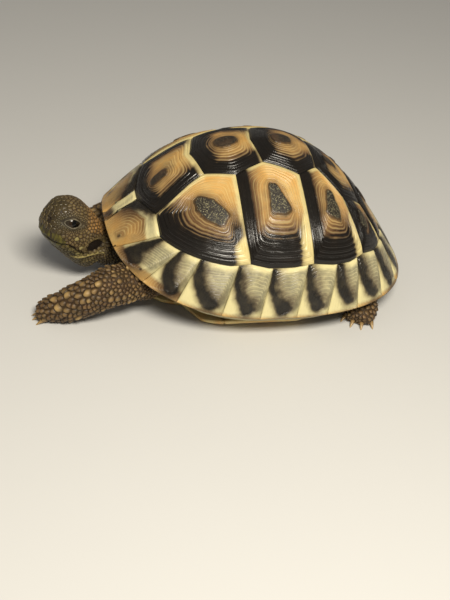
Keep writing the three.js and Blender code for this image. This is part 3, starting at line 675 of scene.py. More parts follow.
# The trunk lies this far under the dome down to this level, and then runs through belts of
# [out, up] at the front, side and rear.
TRUNK_DEPTH = 2.2
TRUNK_LEVEL = 0.24
TRUNK_BELTS = [
    [(38.4, 28), (33.4, 14), (38, 16)],
    [(34, 10), (31, 8), (34, 10)],
    [(30, 4.6), (27.5, 3), (29, 4.2)],
]

SCALE_DEPTH = 0.3  # the skin lies this far inside the solids
VOXEL = 0.54  # fineness of the skin before the head is divided further
COVERED_LEVEL = 0.26  # above this level of the dome the shell hides the skin, which has few faces there
FLESH = ("trunk", "head", "neck", "foreleg_left", "foreleg_right", "hindleg_left", "hindleg_right", "tail")

# Features of the head, in its own frame. Lines run through [forward] and [up].
EYE = {"place": (4.9, 4.5, 2.35), "radius": 3.1, "outward": (0.34, 0.92, 0.19)}
LID = {"thick": 0.2, "half_long": 0.86, "half_tall": 0.45, "tilt": -0.19}  # the opening in radians
MOUTH = {"corner": -2.3, "depth": 0.6, "half_gap": 0.27}
MOUTH_LINE = ([-2.6, 0, 2.4, 4.5, 6.5, 9, 10.6], [-6.3, -5.7, -5.0, -4.7, -5.3, -5.3, -4.4])
BEAK_TOP = ([4.2, 5.8, 8.2, 10.8], [-4.4, -3.2, -2.2, -1.9])
THROAT_FOLD = ([-10.5, -8.7, -6.3, -3.8, -2.3, -0.9, 1.0], [-3.1, -4.4, -5.6, -6.8, -7.9, -8.8, -11])
NOSTRIL = {"place": (11.2, 1.5, 1.4), "radius": 0.42}
EARDRUM = {"forward": -5.1, "up": -2.6, "long": 3.0, "tall": 2.2, "slope": 0.3}
# Yellow spots on the cheek and jaw: [forward, up, radius].
SPOTS = [(1.9, -6.2, 0.75), (-0.3, -4.1, 0.8), (-0.5, -7.3, 0.65), (2.4, -1.8, 0.7), (4.4, -5.9, 0.4)]


# ---------------------------------------------------------------- the skin


def curve(stations, count):
    """A smooth run through stations."""
    stations = np.array(stations, float)
    last = len(stations) - 1
    slope = np.gradient(stations, axis=0)
    t = np.linspace(0, last, count)
    i = np.minimum(t.astype(int), last - 1)
    x = (t - i)[:, None]
    a = x * x * (3 - 2 * x)
    bend = x * (1 - x) * ((1 - x) * slope[i] - x * slope[i + 1])
    return (1 - a) * stations[i] + a * stations[i + 1] + bend


def head_turn():
    """The turn from the head's own frame, before forward, left and up are named, to the animal's."""
    nod = Matrix.Rotation(math.radians(-HEAD_PITCH), 3, "X")
    turn = Matrix.Rotation(math.radians(HEAD_YAW), 3, "Z") @ nod
    return np.array(turn)


def on_head(local):
    """Places on the head from forward, left and up."""
    local = np.asarray(local, float)
    return np.stack([local[..., 1], -local[..., 0], local[..., 2]], axis=-1) @ head_turn().T + HEAD_MIDDLE


def to_head(places):
    """Forward, left and up on the head for places on the animal."""
    local = (places - HEAD_MIDDLE) @ head_turn()
    return np.stack([-local[..., 1], local[..., 0], local[..., 2]], axis=-1)


def limb_frame(name, count=60):
    """The middle line of a limb with its direction, the way across and over it, and its half sizes."""
    run = curve(LIMBS[name], count)
    middle = run[:, :3]
    along = unit(np.gradient(middle, axis=0))
    across = unit(np.cross(along, [0, 0, 1]))
    return middle, along, across, np.cross(across, along), run[:, 3] - SCALE_DEPTH, run[:, 4] - SCALE_DEPTH


def circle(count):
    """Cosines and sines of evenly spaced turns."""
    turn = np.linspace(0, 2 * np.pi, count, endpoint=False)
    return np.cos(turn), np.sin(turn)


def limb_rings(name):
    """Rings of points along a limb."""
    middle, _, across, over, wide, tall = limb_frame(name)
    c, s = circle(40)
    return (middle[:, None] + across[:, None] * (wide[:, None] * c)[..., None]
            + over[:, None] * (tall[:, None] * s)[..., None])


def head_rings():
    """Rings of points from the tip of the snout to the back of the head."""
    forward, half, top, bottom, waist = curve(HEAD_STATIONS, 60).T
    c, s = circle(56)
    over, beside = (np.sign(share) * np.abs(share) ** HEAD_FULLNESS for share in (c, s))
    tall = np.where(c > 0, (top - waist)[:, None], (waist - bottom)[:, None]) - SCALE_DEPTH
    local = np.stack(np.broadcast_arrays(
        (forward - SCALE_DEPTH * np.sign(forward))[:, None],
        (half - SCALE_DEPTH)[:, None] * beside, waist[:, None] + tall * over), axis=-1)
    return on_head(local)


def under_dome(angles, level):
    """The trunk under the shell at an angle round it and a level of the dome."""
    return dome_surface(on_disc(np.degrees(angles), level), np.full(len(angles), -TRUNK_DEPTH - SCALE_DEPTH))


def trunk_rings():
    """The part of the trunk that shows round the edge of the shell, from the lowest of the dome down."""
    c, s = circle(96)
    angles = np.arctan2(s, c)
    dome = [under_dome(angles, level) for level in np.linspace(COVERED_LEVEL, TRUNK_LEVEL, 4)]
    belts = [[(out - SCALE_DEPTH, up) for out, up in belt] for belt in TRUNK_BELTS]
    return np.array([*dome, *(round_the_body(angles, *belt) for belt in belts)])


def loft(rings):
    """A closed surface through rings of points, each end closed to its middle."""
    count = rings.shape[1]
    ends = (rings[0].mean(axis=0)[None], rings[-1].mean(axis=0)[None])
    places = np.concatenate([rings.reshape(-1, 3), *ends])
    faces = grid_faces(len(rings), count, True)
    faces += fan_faces(0, count, len(places) - 2, reverse=True)
    faces += fan_faces((len(rings) - 1) * count, count, len(places) - 1)
    if signed_volume(places - places.mean(axis=0), faces) < 0:
        faces = [face[::-1] for face in faces]
    return places, faces


def joined(parts):
    """Closed surfaces as one list of places and one of faces."""
    places, faces, start = [], [], 0
    for part_places, part_faces in parts:
        places.append(part_places)
        faces += [[start + i for i in face] for face in part_faces]
        start += len(part_places)
    return np.concatenate(places), faces


def nearest_limb(places):
    """For each place: the limb it lies on, how far along and round it the place is, and the way it runs."""
    names = ["trunk", *LIMBS, "head"]
    best = np.full(len(places), 1.22)
    label = np.zeros(len(places), int)
    along_share, turn = np.zeros(len(places)), np.zeros(len(places))
    lie = np.tile([0.0, 0.0, 1.0], (len(places), 1))
    for number, name in enumerate(LIMBS, 1):
        middle, along, across, over, wide, tall = limb_frame(name, 40)
        for k in range(len(middle)):
            offset = places - middle[k]
            x, y, z = offset @ across[k], offset @ over[k], offset @ along[k]
            reach = np.sqrt((x / wide[k]) ** 2 + (y / tall[k]) ** 2 + (z / min(wide[k], tall[k])) ** 2)
            closer = reach < best
            best[closer], label[closer] = reach[closer], number
            along_share[closer] = k / (len(middle) - 1)
            turn[closer] = np.arctan2(y, x)[closer] / (2 * np.pi) + 0.5
            lie[closer] = along[k]
    local = to_head(places)
    on_it = in_head(places)
    label[on_it] = names.index("head")
    along_share[on_it] = (local[on_it, 0] + 12) / 26
    turn[on_it] = np.arctan2(local[on_it, 1], local[on_it, 2] + 1.5) / (2 * np.pi) + 0.5
    lie[on_it] = on_head([-1, 0, 0]) - on_head([0, 0, 0])
    return np.array(names)[label], along_share, turn, lie


def eye_directions():
    """Outward, forward and upward from the left eye, in the head's frame."""
    outward = unit(np.array(EYE["outward"], float))
    level = unit(np.cross(outward, [0, 0, 1]))
    upward = np.cross(level, outward)
    forward = level * math.cos(LID["tilt"]) + upward * math.sin(LID["tilt"])
    return outward, forward, np.cross(forward, outward)


def from_eye(local, side=1):
    """For places in the head's frame: the distance from an eye's middle, the offset from it, and the
    share of the way outward, forward and upward."""
    offset = local * [1, side, 1] - EYE["place"]
    reach = np.linalg.norm(offset, axis=-1)
    direction = offset / np.maximum(reach, 1e-6)[..., None]
    return reach, offset, *(direction @ way for way in eye_directions())


def lid_gap(outward, forward, upward):
    """How far a place is outside the opening between the lids, in millimetres over the ball of the eye."""
    flat = np.sqrt(forward * forward + upward * upward + 1e-9)
    away = np.arccos(np.clip(outward, -1, 1))
    x = forward / flat / LID["half_long"]
    y = upward / flat / (LID["half_tall"] * np.where(upward > 0, 1.0, 0.92))
    edge = 1 / np.sqrt(x * x + y * y)
    return EYE["radius"] * (away - edge * (1 - 0.12 * (2 * forward * upward / flat ** 2) ** 2))


def drum_share(forward, up):
    """How far a place is from the middle of the eardrum, 1 being its edge."""
    ahead = forward - EARDRUM["forward"]
    above = up - EARDRUM["up"] + EARDRUM["slope"] * ahead
    return np.hypot(ahead / EARDRUM["long"], above / EARDRUM["tall"])


def above_mouth(forward, reach, up):
    """How far a place is above the line of the mouth, which hooks down at the tip of the beak."""
    hook = 0.5 * np.exp(-(reach / 1.3) ** 2) * smoothstep(8.5, 10.5, forward)
    return up - np.interp(forward, *MOUTH_LINE) + hook


def before_corner(forward):
    """1 along the mouth and 0 behind its corner."""
    return smoothstep(MOUTH["corner"] - 0.4, MOUTH["corner"] + 0.4, forward)


def sculpt_head(local):
    """Moves places of the head's plain form onto its features, in the head's own frame."""
    forward, side, up = local.T
    reach = np.abs(side)
    outward = unit(np.stack([forward * 0.25, side, up + 1.8], axis=-1))

    # Brow, cheek, the hollow before the eye and the temple.
    lift = 0.3 * np.exp(-((forward - 5.0) / 3.4) ** 2 - ((reach - 5.0) / 1.5) ** 2 - ((up - 6.2) / 1.1) ** 2)
    lift += 0.25 * np.exp(-((forward + 0.6) / 2.4) ** 2 - ((up + 2.6) / 1.8) ** 2) * (reach > 4)
    hollow = ((forward - 9.0) / 1.2) ** 2
    lift -= 0.4 * np.exp(-hollow - ((up - 2.4) / 1.8) ** 2 - ((reach - 4.9) / 1.4) ** 2)
    lift -= 0.22 * np.exp(-((forward + 0.4) / 1.6) ** 2 - ((up - 2.4) / 1.5) ** 2) * (reach > 4)

    # The mouth with its lips, and the upper edge of the beak.
    above = above_mouth(forward, reach, up)
    in_mouth = before_corner(forward)
    lift -= MOUTH["depth"] * np.exp(-(above / MOUTH["half_gap"]) ** 2) * in_mouth
    lift += 0.24 * np.exp(-((above - 0.6) / 0.45) ** 2) * in_mouth
    lift -= 0.12 * np.exp(-((above + 1.0) / 0.8) ** 2) * in_mouth * smoothstep(2, 9, forward)
    edge = up - np.interp(forward, *BEAK_TOP)
    lift -= 0.14 * np.exp(-(edge / 0.3) ** 2) * smoothstep(4.0, 5.6, forward)

    nose = np.linalg.norm(np.stack([forward, reach, up], axis=-1) - NOSTRIL["place"], axis=1)
    lift -= 0.75 * np.exp(-(nose / NOSTRIL["radius"]) ** 2) - 0.12 * np.exp(-((nose - 0.8) / 0.3) ** 2)

    drum = drum_share(forward, up)
    sideways = reach > 4
    lift -= 0.4 * smoothstep(1.08, 0.84, drum) * sideways
    lift += 0.24 * np.exp(-((drum - 1.22) / 0.13) ** 2) * sideways

    # Loose skin under the throat, in soft folds.
    fold = (up - np.interp(forward, *THROAT_FOLD)) * 0.7
    throat = smoothstep(-5.6, -7.4, up) * smoothstep(3, -2, forward)
    lift += throat * (0.1 + 0.14 * np.sin(forward * 1.7 + up * 0.7 + 0.8 * np.cos(side * 0.5)))
    loose = smoothstep(1.0, -1.6, forward)
    lift += (0.3 * np.exp(-(fold / 0.45) ** 2) - 0.3 * np.exp(-((fold - 0.8) / 0.4) ** 2)) * loose
    moved = local + outward * lift[:, None]

    # The lids, creased round their opening, and behind them the socket that holds the ball of the eye.
    for side_of in (1, -1):
        distance, offset, outward, ahead, above = from_eye(moved, side_of)
        gap = lid_gap(outward, ahead, above)
        lids = EYE["radius"] + LID["thick"] + 0.16 * np.exp(-((gap - 0.22) / 0.2) ** 2)
        for crease, depth in ((0.55, 0.22), (1.05, 0.14), (1.5, 0.12)):
            lids -= depth * np.exp(-((gap - crease) / 0.13) ** 2)
        lids -= 0.35 * smoothstep(1.0, 2.6, gap)
        behind = EYE["radius"] - 0.5
        shut = smoothstep(-0.12, 0.02, gap)
        target = behind + (np.maximum(distance, lids) - behind) * shut
        near = (moved[:, 1] * side_of > 0) & (outward > 0.1)
        scale = np.where(near, target / np.maximum(distance, 1e-6), 1.0)
        moved = (offset * scale[:, None] + EYE["place"]) * [1, side_of, 1]
    return moved


def sculpt_limbs(places, normals, where, along):
    """Folds of loose skin round the neck, at the roots of the legs and in the trunk's openings."""
    lift = 0.10 * ripple(places, 5.0, 31) + 0.05 * ripple(places, 2.0, 32)
    neck = where == "neck"
    names = where.astype(str)
    legs = np.char.startswith(names, "foreleg") | np.char.startswith(names, "hindleg")
    bend = ripple(places, 14.0, 33)
    lift = lift + neck * 0.34 * np.sin(along * 34 + bend * 2.2)
    lift = lift + legs * 0.28 * np.sin(along * 44 + bend * 2.5) * smoothstep(0.42, 0.15, along)
    lift = lift + (where == "trunk") * 0.4 * np.sin(places[:, 2] * 1.3 + bend * 2.5)
    return places + normals * lift[:, None]


def remeshed(places, faces, voxel):
    """One surface round overlapping closed ones."""
    mesh = bpy.data.meshes.new("rough")
    mesh.from_pydata(places.tolist(), [], faces)
    rough = bpy.data.objects.new("rough", mesh)
    bpy.context.scene.collection.objects.link(rough)
    remesh = rough.modifiers.new("remesh", "REMESH")
    remesh.mode = "VOXEL"
    remesh.voxel_size = voxel
    smooth = rough.modifiers.new("smooth", "SMOOTH")
    smooth.factor, smooth.iterations = 0.5, 3
    depsgraph = bpy.context.evaluated_depsgraph_get()
    whole = bpy.data.meshes.new_from_object(rough.evaluated_get(depsgraph))
    bpy.data.objects.remove(rough)
    bpy.data.meshes.remove(mesh)
    return whole


def mesh_arrays(mesh):
    """The places and normals of a mesh's points."""
    places = np.empty(len(mesh.vertices) * 3)
    mesh.vertices.foreach_get("co", places)
    normals = np.empty(len(mesh.vertices) * 3)
    mesh.vertices.foreach_get("normal", normals)
    return places.reshape(-1, 3), normals.reshape(-1, 3)


def divide(mesh, chosen):
    """Divides the faces whose middle is chosen."""
    shape = bmesh.new()
    shape.from_mesh(mesh)
    middles = np.array([face.calc_center_median() for face in shape.faces])
    picked = chosen(middles)
    edges = {edge for face, pick in zip(shape.faces, picked) if pick for edge in face.edges}
    bmesh.ops.subdivide_edges(shape, edges=list(edges), cuts=1, use_grid_fill=True, smooth=0.6)
    bmesh.ops.triangulate(shape, faces=[face for face in shape.faces if len(face.verts) > 4])
    shape.to_mesh(mesh)
    shape.free()


def near_eyes(places):
    """Places on the lids and round them."""
    local = to_head(places)
    mirrored = np.stack([local[:, 0], np.abs(local[:, 1]), local[:, 2]], axis=-1)
    return np.linalg.norm(mirrored - EYE["place"], axis=1) < 4.3


def face_array(mesh):
    """The corners of a mesh of quads."""
    faces = np.empty(len(mesh.loops), np.int32)
    mesh.loops.foreach_get("vertex_index", faces)
    return faces.reshape(-1, 4)


def closed_under_shell(places, faces):
    """The skin with its flat top and bottom, which the shell hides, made anew from few faces."""
    corner = places[faces]
    middle = corner.mean(axis=1)
    facing = unit(np.cross(corner[:, 2] - corner[:, 0], corner[:, 3] - corner[:, 1]))[:, 2]
    inside = np.hypot(middle[:, 0], middle[:, 1] + 1) < 44
    top = inside & (facing > 0.97) & (middle[:, 2] > 27)
    bottom = inside & (facing < -0.97) & (middle[:, 2] < 5) & (np.hypot(middle[:, 0], middle[:, 1]) < 27)
    kept = faces[~(top | bottom)]
    sides = np.stack([kept, np.roll(kept, -1, axis=1)], axis=-1).reshape(-1, 2)
    paired = {(b, a) for a, b in sides.tolist()}
    open_sides = np.array([side for side in sides.tolist() if tuple(side) not in paired])
    added = []
    for high in (True, False):
        rim = open_sides[(places[open_sides[:, 0], 2] > 15) == high]
        ring = np.unique(rim)
        angles = np.arctan2(places[ring, 0], -(places[ring, 1] - CROWN_Y))
        before = ring
        order = np.full(len(places), -1)
        order[ring] = np.arange(len(ring))
        at = order[rim]
        for level in (np.linspace(COVERED_LEVEL, 1, 11)[1:-1] if high else []):
            following = np.arange(len(ring)) + len(places)
            places = np.concatenate([places, under_dome(angles, level)])
            quads = [before[at[:, 1]], before[at[:, 0]], following[at[:, 0]], following[at[:, 1]]]
            added += np.stack(quads, axis=-1).tolist()
            before = following
        places = np.concatenate([places, places[before].mean(axis=0)[None]])
        added += [[int(before[b]), int(before[a]), len(places) - 1] for a, b in at.tolist()]
    return places, kept.tolist() + added


def hidden(places):
    """Skin of the trunk that the shell and the plastron cover."""
    return (places[:, 2] > 27) | (np.hypot(places[:, 0] / 33, (places[:, 1] + 1) / 35) < 1)


def in_head(places):
    """Places on the head, and a little way onto the neck."""
    local = to_head(places)
    return (local[:, 0] > -9.6) & (np.abs(local[:, 1]) < 10.5) & (np.abs(local[:, 2] + 1.5) < 11)


def skin_mesh():
    """The whole skin in millimetres: plain forms joined, made fine where it matters, then sculpted."""
    parts = [loft(trunk_rings()), loft(head_rings()), *(loft(limb_rings(name)) for name in LIMBS)]
    rough = remeshed(*joined(parts), VOXEL)
    places, faces = closed_under_shell(mesh_arrays(rough)[0], face_array(rough))
    bpy.data.meshes.remove(rough)
    mesh = bpy.data.meshes.new("fine")
    mesh.from_pydata(places.tolist(), [], faces)
    divide(mesh, in_head)
    divide(mesh, near_eyes)
    places, normals = mesh_arrays(mesh)
    where, along, _, _ = nearest_limb(places)
    places = sculpt_limbs(places, normals, where, along)
    head = where == "head"
    places[head] = on_head(sculpt_head(to_head(places[head])))
    places[:, 2] = np.maximum(places[:, 2], 0.05)
    mesh.vertices.foreach_set("co", places.ravel())
    mesh.update()
    return mesh


# ---------------------------------------------------------------- marks on the skin


def skin_marks(places, where):
    """The skin's colours as shares at each place, the same for the skin and for its scales."""
    forward, side, up = to_head(places).T
    side = np.abs(side)
    head = where == "head"
    neck = where == "neck"
    reach, _, outward, ahead, over = from_eye(np.stack([forward, side, up], axis=-1))
    gap = np.where(head & (outward > 0) & (reach < 5.5), lid_gap(outward, ahead, over), FAR)
    drum = np.where(head & (side > 4), drum_share(forward, up), FAR)
    above = above_mouth(forward, side, up)
    beak = smoothstep(4.2, 5.6, forward) * smoothstep(0.25, -0.25, up - np.interp(forward, *BEAK_TOP))
    fold = np.exp(-((up - np.interp(forward, *THROAT_FOLD)) / 0.55) ** 2) * smoothstep(0.6, -0.6, forward)
    spot = np.zeros(len(places))
    for ahead_of, high, size in SPOTS:
        on_spot = smoothstep(size, size * 0.6, np.hypot(forward - ahead_of, up - high))
        spot = np.maximum(spot, on_spot * (side > 3))
    nape = head * smoothstep(2.5, -3.4, forward) * smoothstep(0.8, 2.8, up)
    jaw = head * smoothstep(0.4, -0.4, above) * smoothstep(-4.5, -2.0, forward)
    return {
        "snout": head * smoothstep(5.4, 8.4, forward) * smoothstep(-3.0, -1.4, up),
        "nape": nape + neck * 0.6 * smoothstep(-3, 3, up),
        "jaw": jaw * smoothstep(-10.5, -8.5, up),
        "throat": head * smoothstep(-6.2, -8.0, up) * smoothstep(1.0, -2.4, forward),
        # Under: painted shade of the shell on the lower side of the neck.
        "under": neck * smoothstep(2.0, -3.0, up) * 0.6,
        "beak": head * beak,
        "lid": np.exp(-((gap - 0.17) / 0.16) ** 2) + 0.6 * np.exp(-((gap - 0.85) / 0.14) ** 2) * (over < 0),
        "round_eye": smoothstep(2.2, 1.2, gap),
        "socket": (gap < 0.0) * 1.0,
        "mouth": head * np.exp(-(above / 0.3) ** 2) * before_corner(forward),
        "drum": smoothstep(1.1, 0.9, drum),
        "drum_rim": np.exp(-((drum - 1.26) / 0.13) ** 2),
        "fold": head * fold,
        "limb": ~np.isin(where, ["head", "neck"]) * 1.0,
        "spot": head * spot,
    }


# ---------------------------------------------------------------- scales

ROUND_POINTS = 14  # points round a scale
# Rings of points over a scale: [share of the way out, share of the height].
PLATE = [(1.0, -0.25), (0.97, 0.25), (0.84, 0.78), (0.55, 0.97)]
CONE = [(1.0, -0.2), (0.93, 0.2), (0.72, 0.62), (0.38, 0.92)]
NEIGHBOURS = 14  # how many others leave a scale its room
PATCH = 0.0015  # half of a scale's patch on the bake map
# Rings, height and lean of the scales, with the plain form for what isn't named.
SCALE_FORM = {"head": (PLATE, 0.19, 0.2), "foreleg": (CONE, 0.42, 0.75), "hindleg": (CONE, 0.36, 0.6)}
PLAIN_SCALE = (PLATE, 0.2, 0.3)
CANDIDATES = 9  # points tried for each scale that fits
SQUEEZE = 0.45  # least distance between two scales, as a share of their widths together


def spread(places, areas, spacing, seed):
    """Picks places about this far apart, the widest spaced first, then evens them out."""
    rng = np.random.default_rng(seed)
    chance = areas / spacing ** 2
    wanted = int(np.sum(chance) * CANDIDATES)
    chosen = rng.choice(len(places), size=wanted, p=chance / np.sum(chance))
    points, wide = places[chosen] + rng.normal(size=(wanted, 3)) * 0.12, spacing[chosen]
    order = np.argsort(-wide, kind="stable")
    cell = float(wide.max())
    taken, kept = {}, []
    for i in order:
        key = tuple((points[i] // cell).astype(int))
        near = [j for x in (-1, 0, 1) for y in (-1, 0, 1) for z in (-1, 0, 1)
                for j in taken.get((key[0] + x, key[1] + y, key[2] + z), ())]
        room = np.linalg.norm(points[near] - points[i], axis=1) - wide[near] * SQUEEZE if near else [FAR]
        if np.min(room) > wide[i] * SQUEEZE:
            taken.setdefault(key, []).append(i)
            kept.append(i)
    tree = KDTree(len(kept))
    for number, i in enumerate(kept):
        tree.insert(points[i], number)
    tree.balance()
    owner = np.array([tree.find(point)[1] for point in points])
    count = np.maximum(1, np.bincount(owner, minlength=len(kept)))
    evened = np.stack([np.bincount(owner, points[:, k], len(kept)) / count for k in range(3)], axis=-1)
    return points[kept] * 0.4 + evened * 0.6, wide[kept]


def vertex_areas(mesh):
    """The share of a mesh's surface that belongs to each of its points."""
    total = np.empty(len(mesh.polygons), np.int32)
    mesh.polygons.foreach_get("loop_total", total)
    area = np.empty(len(mesh.polygons))
    mesh.polygons.foreach_get("area", area)
    corner = np.empty(len(mesh.loops), np.int32)
    mesh.loops.foreach_get("vertex_index", corner)
    return np.bincount(corner, np.repeat(area / total, total), len(mesh.vertices))


def scale_width(places, where, along, marks, seed):
    """How wide the scales are at each place on the skin, and FAR where there are none."""
    rng = np.random.default_rng(seed)
    forward, side, up = to_head(places).T
    side = np.abs(side)
    width = np.full(len(places), 0.9)
    width[where == "trunk"] = 1.7
    limb = ~np.isin(where, ["head", "trunk", "neck"])
    on_limb = np.interp(along, [0.0, 0.35, 0.65, 0.85, 1.0], [0.85, 1.15, 1.65, 1.6, 1.0])
    width = np.where(limb, on_limb, width)
    fore = np.char.startswith(where.astype(str), "foreleg")
    pick = rng.random(len(places))
    width = np.where(fore & (along > 0.2) & (pick < 0.05), 2.1, width)
    width = np.where(fore & (along > 0.25) & (pick < 0.012), 2.9, width)
    head = where == "head"
    crown = smoothstep(3.0, 5.5, up) * smoothstep(-4, 2, forward)
    width = np.where(head, 0.98 + 0.15 * crown + 0.6 * marks["snout"] + 0.15 * marks["nape"], width)
    width = np.where(head & (marks["jaw"] > 0.5), 1.05, width)
    width = np.where(head & (marks["spot"] > 0.5), 1.3, width)
    width = np.where(head & (marks["throat"] > 0.5), 0.9, width)
    reach, _, outward, ahead, over = from_eye(np.stack([forward, side, up], axis=-1))
    gap = np.where(head & (outward > 0) & (reach < 5.5), lid_gap(outward, ahead, over), FAR)
    width = np.where(gap < 2.2, 0.6, width)
    nose = np.linalg.norm(np.stack([forward, side, up], axis=-1) - NOSTRIL["place"], axis=1)
    bare = head & ((gap < 1.25) | (marks["beak"] > 0.4) | (marks["drum"] > 0.05) | (nose < 1.0))
    bare |= (marks["mouth"] > 0.25) | (marks["drum_rim"] > 0.3) | (marks["fold"] > 0.5)
    bare |= (where == "trunk") & hidden(places) | (places[:, 2] < 0.3)
    return np.where(bare, FAR, width)


def scale_piece(name, skin_tree, points, normals, lie, wide, root, marks, seed, form, height):
    """Domed scales at points on the skin, each filling the room that its neighbours leave it. Their root
    places each on the bake map, by how far along and round its limb it is."""
    rng = np.random.default_rng(seed)
    rings, tall, lean = form
    tree = KDTree(len(points))
    for number, point in enumerate(points):
        tree.insert(point, number)
    tree.balance()
    near = np.array([[found[1] for found in tree.find_n(point, NEIGHBOURS + 1)][1:] for point in points])
    along = unit(lie - normals * np.sum(lie * normals, axis=1, keepdims=True))
    across = np.cross(normals, along)
    offset = points[near] - points[:, None]
    away = np.linalg.norm(offset, axis=2)
    flat = unit(np.stack([np.einsum("ijk,ik->ij", offset, way) for way in (along, across)], axis=-1))
    c, s = circle(ROUND_POINTS)
    toward = flat[..., 0, None] * c + flat[..., 1, None] * s
    half = away * np.clip(0.5 + 0.3 * (wide[:, None] - wide[near]) / (wide[:, None] + wide[near]), 0.3, 0.7)
    radius = np.where(toward > 0.05, half[..., None] / np.maximum(toward, 0.05), FAR).min(axis=1)
    radius = np.minimum(radius, wide[:, None] * 0.8)
    radius = np.maximum(radius - 0.045, radius * 0.8)
    spokes = along[:, None] * (radius * c)[..., None] + across[:, None] * (radius * s)[..., None]
    edge = points[:, None] + spokes
    found = [skin_tree.find_nearest(place)[0] for place in edge.reshape(-1, 3)]
    edge = np.array([tuple(place) for place in found]).reshape(edge.shape)

    high = tall * height * (0.3 + 0.7 * wide) * rng.uniform(0.7, 1.3, len(points))
    rows = []
    for share, rise in rings:
        tipped = lean * np.maximum(0, rise) * (along * (high * rise)[:, None])[:, None]
        rows.append(points[:, None] + (edge - points[:, None]) * share
                    + (normals * (high * rise)[:, None])[:, None] + tipped)
    top = points + normals * high[:, None] + lean * along * high[:, None]
    base = points - normals * (high * 0.3)[:, None]
    each = len(rings) * ROUND_POINTS + 2
    grid = np.stack(rows, axis=1).reshape(len(points), -1, 3)
    grid = np.concatenate([grid, top[:, None], base[:, None]], axis=1)
    grid[..., 2] = np.maximum(grid[..., 2], 0.02)
    faces = grid_faces(len(rings), ROUND_POINTS, True)
    faces += fan_faces((len(rings) - 1) * ROUND_POINTS, ROUND_POINTS, each - 2)
    faces += fan_faces(0, ROUND_POINTS, each - 1, reverse=True)
    quads = np.array([face for face in faces if len(face) == 4])
    triangles = np.array([face for face in faces if len(face) == 3])
    step = (np.arange(len(points)) * each)[:, None, None]
    faces = (quads + step).reshape(-1, 4).tolist() + (triangles + step).reshape(-1, 3).tolist()

    out = np.concatenate([np.repeat([share for share, _ in rings], ROUND_POINTS), [0, 0]])
    turn = np.concatenate([np.tile(np.stack([c, s], axis=-1), (len(rings), 1)), [[0, 0], [0, 0]]])
    patch = root[:, None] + (turn * out[:, None] * PATCH)[None]
    fields = {field: np.repeat(values, each) for field, values in marks.items()}
    fields["rim"] = np.tile(out, len(points))
    fields["shade"] = np.repeat(rng.random(len(points)), each)
    fields["large"] = np.repeat(wide, each)
    piece = mesh_piece(name, grid.reshape(-1, 3), faces, "horny scale", fields)
    layer = piece.data.uv_layers.new(name="OFBake")
    corner = np.empty(len(piece.data.loops), np.int32)
    piece.data.loops.foreach_get("vertex_index", corner)
    layer.data.foreach_set("uv", np.clip(patch.reshape(-1, 2)[corner], 0, 1).astype(np.float32).ravel())
    return piece


# ---------------------------------------------------------------- eyes and claws

GAZE = (-0.26, 0.06)  # how far forward and up of straight out the pupil points
PUPIL = 1.3  # radius, measured over the ball
IRIS = 2.1
EYE_POINTS = 48  # points round the ball
CLAW = {"radius": 0.8, "droop": 12, "sunk": 1.3, "height": 1.5}
CLAW_POINTS = 16  # points round a claw
CLAWS = {"foreleg": (5, 26), "hindleg": (4, 24)}  # how many, and how far they fan out in degrees


def eyeball(side):
    """A glossy ball whose fields tell how far each point is from the middle of the pupil."""
    outward, forward, upward = eye_directions()
    gaze = unit(outward + GAZE[0] * forward + GAZE[1] * upward)
    c, s = circle(EYE_POINTS)
    first = unit(np.cross(gaze, upward))
    second = np.cross(gaze, first)
    tilt = np.linspace(0, np.pi, 42)[1:-1]
    ring = (gaze * np.cos(tilt)[:, None])[:, None] + np.sin(tilt)[:, None, None] * (
        first * c[:, None] + second * s[:, None])[None]
    ball = np.concatenate([ring.reshape(-1, 3), gaze[None], -gaze[None]])
    around = np.concatenate([np.repeat(tilt, EYE_POINTS), [0, np.pi]]) * EYE["radius"]
    places = on_head((ball * EYE["radius"] + EYE["place"]) * [1, side, 1])
    faces = grid_faces(len(tilt), EYE_POINTS, True)
    faces += fan_faces(0, EYE_POINTS, len(ball) - 2, reverse=True)
    faces += fan_faces((len(tilt) - 1) * EYE_POINTS, EYE_POINTS, len(ball) - 1)
    name = "left" if side > 0 else "right"
    fields = {"pupil": PUPIL - around, "iris": IRIS - around}
    return mesh_piece(f"eyeball_{name}", places, faces, "glossy eye", fields, (f"eye_{name}",))


def claw(name, limb, length, turned, moved):
    """A curved horn cone at the front edge of a foot."""
    near, last = np.array(LIMBS[limb][-2], float), np.array(LIMBS[limb][-1], float)
    heading = math.atan2(last[1] - near[1], last[0] - near[0])
    run = np.linspace(0, 1, 14)
    c, s = circle(CLAW_POINTS)
    droop = -math.radians(CLAW["droop"]) * run * 1.9
    x = run * length * np.cos(droop) - CLAW["sunk"]
    z = run * length * np.sin(droop)
    girth = CLAW["radius"] * (1 - run ** 1.5) ** 0.8 * 0.98 + 0.05
    rings = np.stack(np.broadcast_arrays(
        x[:, None] + 0 * c, girth[:, None] * c, z[:, None] + girth[:, None] * s * 0.85), axis=-1)
    turn = np.array(Matrix.Rotation(turned, 3, "Z"))
    foot = np.array(Matrix.Rotation(heading, 3, "Z"))
    places = ((rings.reshape(-1, 3) @ turn.T) + [moved[0], moved[1], CLAW["height"]]) @ foot.T
    places = places + [last[0], last[1], 0]
    places[:, 2] = np.maximum(places[:, 2], 0.02)
    places, faces = loft(places.reshape(rings.shape))
    tip = np.concatenate([np.repeat(run, CLAW_POINTS), [0, 1]])
    return mesh_piece(name, places, faces, "claw horn", {"tip": tip})


# ---------------------------------------------------------------- shader expressions


